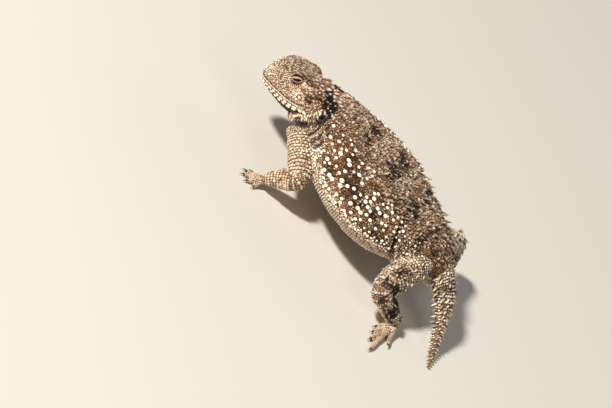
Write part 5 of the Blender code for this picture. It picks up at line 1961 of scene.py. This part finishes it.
class LIZARD_OT_trunk_scales(PieceOperator):
    """Cover the back, the flanks and the belly"""
    bl_idname = "lizard.trunk_scales"
    bl_label = "Trunk scales"

    def execute(self, context):
        skin_ready()
        draws = np.random.default_rng(TRUNK_SEED)
        material = keratin_scales()
        size = sizes()
        rows, spines = back_spines(draws, size.spine / MM)
        strewn, thorns = back_thorns(draws)
        beads, width, pearl = flank_beads(draws, size.bead / MM)
        cream = belly_crumbs(draws)
        comb = belly_comb(draws)

        # Small scales fill what is left: the back, then the flanks, then the belly.
        step = size.back / MM
        small = roots_on(trunk_rays(draws, step, step, 0, 46, 0.24), 0.26, "trunk", "neck")
        # Painted shade: small scales round each spine and thorn are darkened for the shade that the spines
        # cast round them.
        painted_spine_shade = np.maximum(near_to(small.points, rows, np.full(len(rows), 2.0)),
                             0.7 * near_to(small.points, strewn, np.full(len(strewn), 1.3)))
        marks = darkened(markings(small.places), 0.7 * painted_spine_shade)
        back = scales("back", small, draws, marks, speckle=(0.15, 0.12))
        step = size.flank / MM
        flank = roots_on(trunk_rays(draws, step, step, 46, 101, 0.3), 0.16, "trunk", "neck")
        marks = darkened(markings(flank.places), 0.35 * near_to(flank.points, beads, width * 0.9 + 0.3))
        grains = scales("flank", flank, draws, marks, speckle=(0.16, 0.12))
        step = size.belly / MM
        belly = roots_on(trunk_rays(draws, step, step * 0.86, 96, 180, 0.1), 0.12, "trunk", "neck")
        under = scales("belly", belly, draws)
        for side, word in SIDES:
            for part, layers in (
                ("back_scales_", (back, spines, thorns)),
                ("flank_scales_", (grains, pearl, cream, comb)),
                ("belly_scales_", (under,)),
            ):
                grow(part + word, [of_side(layer, side) for layer in layers], material)
        for roots, radius in ((small, 0.46), (flank, 0.34), (belly, 0.4)):
            take(roots.points, radius)
        return {"FINISHED"}


def whorl_rays(draws, rows, up):
    """Rays to the whorls of spines round the tail, which follow each other faster towards its end."""
    ahead, side_way, top = path_frames(rows, up)
    _, travelled = travelled_along(rows[:, :3])
    stop = 3.0
    while stop < travelled[-1] - 0.5:
        at = int(np.searchsorted(travelled, stop))
        centre = np.array([np.interp(stop, travelled, rows[:, n]) for n in range(5)])
        for angle, (side, _) in itertools.product(TAIL_ANGLES, SIDES):
            turn = math.radians(angle + draws.uniform(-6, 6))
            way = side_way[at] * side * math.sin(turn) * centre[3]
            way = top[at] * math.cos(turn) * centre[4] + way
            expected = float(np.linalg.norm(way))
            start = centre[:3] + ahead[at] * draws.uniform(-0.35, 0.35)
            yield start, way / expected, expected, 1.3
        stop += 2.5 - 1.1 * (stop / travelled[-1])


class LIZARD_OT_tail_scales(PieceOperator):
    """Cover the tail in whorls, with rows of spines"""
    bl_idname = "lizard.tail_scales"
    bl_label = "Tail scales"

    def execute(self, context):
        skin_ready()
        draws = np.random.default_rng(TAIL_SEED)
        rows, up = PATHS["tail"][0]
        spines = ray_hits(whorl_rays(draws, rows, up))
        spines = spines.pick(spines.places.on("tail"))
        share, angle = spines.places.share, np.abs(spines.places.angle)
        tall = np.interp(share, (0, 0.45, 0.8, 1), (2.7, 2.5, 1.7, 0.7))
        tall *= np.interp(angle, (10, 55, 92), (0.66, 0.85, 1.0)) * draws.uniform(0.8, 1.1, len(spines))
        spikes = spiny(spines, tall, draws, 30.0, 0.78)
        # The spines point sideways, and the row along each side stands straight out.
        sideways = np.cross(spines.places.lie, spines.out)
        sideways *= np.where(sideways[:, 2:3] > 0, -1.0, 1.0)
        spikes.lie = unit(spines.places.lie * 0.45 + sideways)
        spikes.lean = np.radians(np.interp(angle, (10, 60, 90), (38.0, 34.0, 4.0)))
        slim = np.interp(share, (0.2, 1), (1.0, 0.55))
        spikes.size = spikes.size * np.column_stack([slim, slim, np.ones(len(spines))])
        small = roots_on(path_rays(draws, rows, up, 1.0, 0.98, 0.08, 1.3), 0.2, "tail")
        thin = np.interp(small.places.share, (0, 0.6, 1), (1.0, 0.85, 0.5))[:, None]
        # Painted shade: small scales round each spine are darkened for the shade it casts, less so towards
        # the tip.
        rooted = near_to(small.points, spines, 0.6 + 0.7 * tall) * (1 - 0.6 * small.places.share)
        marks = darkened(markings(small.places), 0.04 + 0.5 * rooted)
        grow("tail_scales", [scales("tail", small, draws, marks, thin), spikes], keratin_scales())
        take(small.points, 0.42 * thin[:, 0])
        return {"FINISHED"}


# Zones of a limb: first and last share of its length, and the spacing and breadth of its scales.
LIMB_ZONES = ((0.08, 0.36, 1.05, 1.3), (0.36, 0.62, 1.35, 0.9), (0.62, 1.0, 1.1, 0.85))
# For an arm and a leg: steps along and round it between spines, degrees down that they reach, their height in
# mm, and how much painted shade darkens the scales round them.
ARM_SPINES, LEG_SPINES = (3.0, 3.4, 75, 0.6, 0.15), (2.4, 2.5, 115, 1.75, 0.5)
DIGIT_STEPS = (0.66, 0.6)
# Height in mm below which the soles stay bare.
SOLE_CLEARANCE = 0.25


class LIZARD_OT_limb_scales(PieceOperator):
    """Cover the arms, legs, hands and feet"""
    bl_idname = "lizard.limb_scales"
    bl_label = "Limb scales"

    def execute(self, context):
        skin_ready()
        draws = np.random.default_rng(LIMB_SEED)
        material = keratin_scales()
        step = sizes().limb / MM
        for name, *_ in all_limbs():
            rows, up = PATHS[name][0]
            leg = name.startswith("leg")
            along, around, upper, height, shade = LEG_SPINES if leg else ARM_SPINES
            spines = roots_on(path_rays(draws, rows, up, along, around, 0.3, 1.3, 0.12, 0.97), 0.4, name)
            spines = spines.pick(np.abs(spines.places.angle) < upper)
            tall = height * draws.uniform(0.6, 1.2, len(spines))
            tall *= np.interp(spines.places.share, (0.1, 0.6, 1.0), (1.0, 1.0, 0.6))
            points = spiny(spines, tall, draws, 34.0, 0.7)
            layers = []
            for first, last, coarse, broad in LIMB_ZONES:
                pitch = step * coarse
                broad = min(broad, 0.9) if leg else broad
                rays = path_rays(draws, rows, up, pitch, pitch * broad, 0.05, 1.36, first, last)
                found = free_of(ray_hits(rays), 0.2)
                beside = found.places.on("trunk") & (found.places.lead < 0.8)
                found = found.pick(found.places.on(name) | beside)
                marks = markings(found.places)
                if len(spines):
                    # Painted shade: scales round each spine are darkened for the shade it casts.
                    marks = darkened(marks, shade * near_to(found.points, spines, 0.7 + 0.6 * tall))
                narrow = np.interp(found.places.share, (0.08, 0.3, 0.9, 1.0), (0.85, 1.0, 0.92, 0.8))
                size = (0.9 * pitch, 0.94 * pitch * max(broad, 0.96), 0.44)
                size = varied(len(found), draws, size, 0.08 if broad > 1 else 0.16) * narrow[:, None]
                layers.append(Layer(PLATE, found, size, -12.0, tones(len(found), draws, 0.62, 0.22), marks))
                take(found.points, 0.4 * pitch)
            layers.append(points)
            for digit, digit_up in PATHS[name + "_digits"]:
                rays = path_rays(draws, digit, digit_up, *DIGIT_STEPS, 0.06, 1.4, 0.12, 1.0)
                pads = roots_on(rays, 0.1, name + "_digits")
                pads = pads.pick(pads.points[:, 2] > SOLE_CLEARANCE)
                thin = np.interp(pads.places.share, (0, 1), (1.0, 0.75))[:, None]
                layers.append(scales("digit", pads, draws, None, thin))
                take(pads.points, 0.28)
            grow("scales_" + name, layers, material)
        return {"FINISHED"}


def brow_roots():
    """Roots along the ridges of both brows."""
    ridge = []
    stops = np.linspace(0, 1, len(BROW))
    for side, _ in SIDES:
        for share in np.linspace(0.35, 1, 11):
            along = np.array([np.interp(share, stops, [row[n] for row in BROW]) for n in range(3)])
            ridge.append(mirrored(along + (0, 0.7, 0.4), side))
    return nearest_roots(from_head(ridge))


class LIZARD_OT_head_scales(PieceOperator):
    """Cover the head and the neck, and close every gap that is left with granules"""
    bl_idname = "lizard.head_scales"
    bl_label = "Head scales"

    def execute(self, context):
        skin_ready()
        draws = np.random.default_rng(HEAD_SEED)
        material = keratin_scales()
        places = skin["places"]
        x, y, z = places.head.T
        face = places.on("head", "neck")
        cheek = face & (x > 15.0) & (x < 24.4) & (z > 1.2) & (z < 7.4) & (np.abs(y) > 5.5)
        big = free_of(scattered(1.02, cheek, draws), 0.25)
        take(big.points, 0.44)
        lumpy = np.clip(markings(big.places) * (0.6, 1, 1, 1) + (0, draws.uniform(0, 0.2), 0, 0), 0, 1)
        ridge = free_of(brow_roots(), 0.1)
        take(ridge.points, 0.36)
        small = free_of(scattered(sizes().head / MM, face, draws), 0.17)
        take(small.points, 0.26)
        crown = ease(small.places.head[:, 2], 6.0, 9.0)
        size = varied(len(small), draws, (0.62, 0.56, 0.26), 0.14) * (1 + 0.18 * crown)[:, None]
        marks = markings(small.places)
        spots = draws.random(len(small)) < 0.08 + 0.24 * crown
        marks[:, 0] = np.where(spots, np.maximum(marks[:, 0], 0.75), marks[:, 0])
        for side, word in SIDES:
            wanted = (small.points[:, 1] > 0) == (side == RIGHT)
            some = small.pick(wanted)
            extra = []
            # The lumps of both cheeks and the ridges of both brows go with the left piece.
            if side == LEFT:
                extra = [
                    scales("cheek", big, draws, lumpy),
                    scales("brow", ridge, draws, (0.15, 0.1, 0.6, 0.3)),
                ]
            bright = tones(len(some), draws, 0.55, 0.16)
            granules = Layer(GRANULE, some, size[wanted], 6.0, bright, marks[wanted])
            grow("head_scales_" + word, [granules, *extra], material)
        # Whatever is still bare gets the finest granules.
        rest = free_of(scattered(0.6, places.points[:, 2] > 0.35, draws), 0.2)
        grow("fine_granules", [scales("fine", rest, draws)], material)
        return {"FINISHED"}


PHOTO_ELEVATION, PHOTO_ROLL = math.radians(30.0), math.radians(49.5)
PIXELS_PER_MM, CAMERA_DISTANCE = 3.0, 0.765
# Lens and sensor in millimetres, and the nearest distance in metres that the camera shows.
LENS, SENSOR_WIDTH, NEAREST = 135.0, 36.0, 0.01
# Pixel of the frame's middle, and pixel at which the middle of the hips stands, 20.5 mm up.
FRAME_MIDDLE, HIPS_PIXEL, HIPS_HEIGHT = (306, 204), (428, 245), 20.5


def photo_camera():
    """The camera at the photograph's viewing angle: a long lens, well above the body, and rolled."""
    tilt = PHOTO_ELEVATION
    look = Vector((0.0, math.cos(tilt), -math.sin(tilt)))
    right = Vector((1.0, 0.0, 0.0))
    up = Vector((0.0, math.sin(tilt), math.cos(tilt)))
    across = (HIPS_PIXEL[0] - FRAME_MIDDLE[0]) / PIXELS_PER_MM
    above = -(HIPS_PIXEL[1] - FRAME_MIDDLE[1]) / PIXELS_PER_MM
    c, s = math.cos(PHOTO_ROLL), math.sin(PHOTO_ROLL)
    off_right, off_up = c * across - s * above, s * across + c * above
    mark = Vector(in_metres((0.0, 0.0, HIPS_HEIGHT)).tolist())
    place = mark - look * CAMERA_DISTANCE - right * off_right * MM - up * off_up * MM
    side, top = right * c + up * s, up * c - right * s
    data = bpy.data.cameras.new("camera")
    data.lens, data.sensor_width, data.clip_start = LENS, SENSOR_WIDTH, NEAREST
    camera = bpy.data.objects.new("camera", data)
    camera.matrix_world = Matrix((
        (side.x, top.x, -look.x, place.x),
        (side.y, top.y, -look.y, place.y),
        (side.z, top.z, -look.z, place.z),
        (0, 0, 0, 1),
    ))
    bpy.context.scene.collection.objects.link(camera)
    bpy.context.scene.camera = camera


# Each light: name, place in metres, width of its disk, power and colour.
LIGHTS = (
    ("key", (-0.97, -0.92, 1.10), 0.18, 45.0, "#fffbf4"),
    ("fill", (0.45, -0.30, 0.65), 0.6, 0.9, "#ffffff"),
    ("back", (0.30, 0.60, 0.35), 0.5, 0.9, "#ffffff"),
)
LIT_SPOT = Vector((0, 0, 0.015))
WORLD_COLOUR, WORLD_STRENGTH = "#f2efe9", 0.12
FLOOR_HALF = 3.0


class LIZARD_OT_stage(PieceOperator):
    """Lay the floor and set the soft lights and the camera"""
    bl_idname = "lizard.stage"
    bl_label = "Stage"

    def execute(self, context):
        mesh = bpy.data.meshes.new("floor")
        corners = [(x * FLOOR_HALF, y * FLOOR_HALF, 0) for x, y in ((-1, -1), (1, -1), (1, 1), (-1, 1))]
        mesh.from_pydata(corners, [], [(0, 1, 2, 3)])
        floor = bpy.data.objects.new("floor", mesh)
        floor.data.materials.append(matte_paper())
        context.scene.collection.objects.link(floor)
        floor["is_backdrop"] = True
        for name, place, size, power, colour in LIGHTS:
            data = bpy.data.lights.new(name, "AREA")
            data.shape, data.size, data.energy, data.color = "DISK", size, power, linear(colour)
            light = bpy.data.objects.new(name, data)
            light.location = place
            light.rotation_euler = (LIT_SPOT - Vector(place)).to_track_quat("-Z", "Y").to_euler()
            context.scene.collection.objects.link(light)
        world = bpy.data.worlds.new("studio")
        world.use_nodes = True
        background = world.node_tree.nodes["Background"]
        background.inputs["Color"].default_value = (*linear(WORLD_COLOUR), 1)
        background.inputs["Strength"].default_value = WORLD_STRENGTH
        context.scene.world = world
        context.scene.view_settings.view_transform = "Standard"
        photo_camera()
        return {"FINISHED"}


# In the order in which main calls them, as scales keep clear of those that stand already.
OPERATORS = (
    LIZARD_OT_skin,
    LIZARD_OT_eyes,
    LIZARD_OT_face,
    LIZARD_OT_horns,
    LIZARD_OT_claws,
    LIZARD_OT_neck_spines,
    LIZARD_OT_trunk_scales,
    LIZARD_OT_tail_scales,
    LIZARD_OT_limb_scales,
    LIZARD_OT_head_scales,
    LIZARD_OT_stage,
)


class LIZARD_PT_panel(bpy.types.Panel):
    """The lizard's pieces and settings"""
    bl_idname = "LIZARD_PT_panel"
    bl_label = "Horned lizard"
    bl_space_type = "VIEW_3D"
    bl_region_type = "UI"
    bl_category = "Lizard"

    def draw(self, context):
        for group in (context.scene.lizard_sizes, context.scene.lizard_colours):
            column = self.layout.column(align=True)
            for key in group.bl_rna.properties.keys():
                if key not in ("rna_type", "name"):
                    column.prop(group, key)
        column = self.layout.column(align=True)
        for operator in OPERATORS:
            column.operator(operator.bl_idname)


CLASSES = (LizardSizes, LizardColours, *OPERATORS, LIZARD_PT_panel)


def register():
    for each in CLASSES:
        bpy.utils.register_class(each)
    bpy.types.Scene.lizard_sizes = PointerProperty(type=LizardSizes)
    bpy.types.Scene.lizard_colours = PointerProperty(type=LizardColours)


def unregister():
    del bpy.types.Scene.lizard_colours
    del bpy.types.Scene.lizard_sizes
    for each in reversed(CLASSES):
        bpy.utils.unregister_class(each)


def main():
    register()
    bpy.ops.lizard.skin()
    bpy.ops.lizard.eyes()
    bpy.ops.lizard.face()
    bpy.ops.lizard.horns()
    bpy.ops.lizard.claws()
    bpy.ops.lizard.neck_spines()
    bpy.ops.lizard.trunk_scales()
    bpy.ops.lizard.tail_scales()
    bpy.ops.lizard.limb_scales()
    bpy.ops.lizard.head_scales()
    bpy.ops.lizard.stage()
    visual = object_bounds()
    boxes = {"cad": CAD_BOX, "visual": visual}
    {name: [list(corner) for corner in box] for name, box in boxes.items()}


if __name__ == "__main__":
    main()
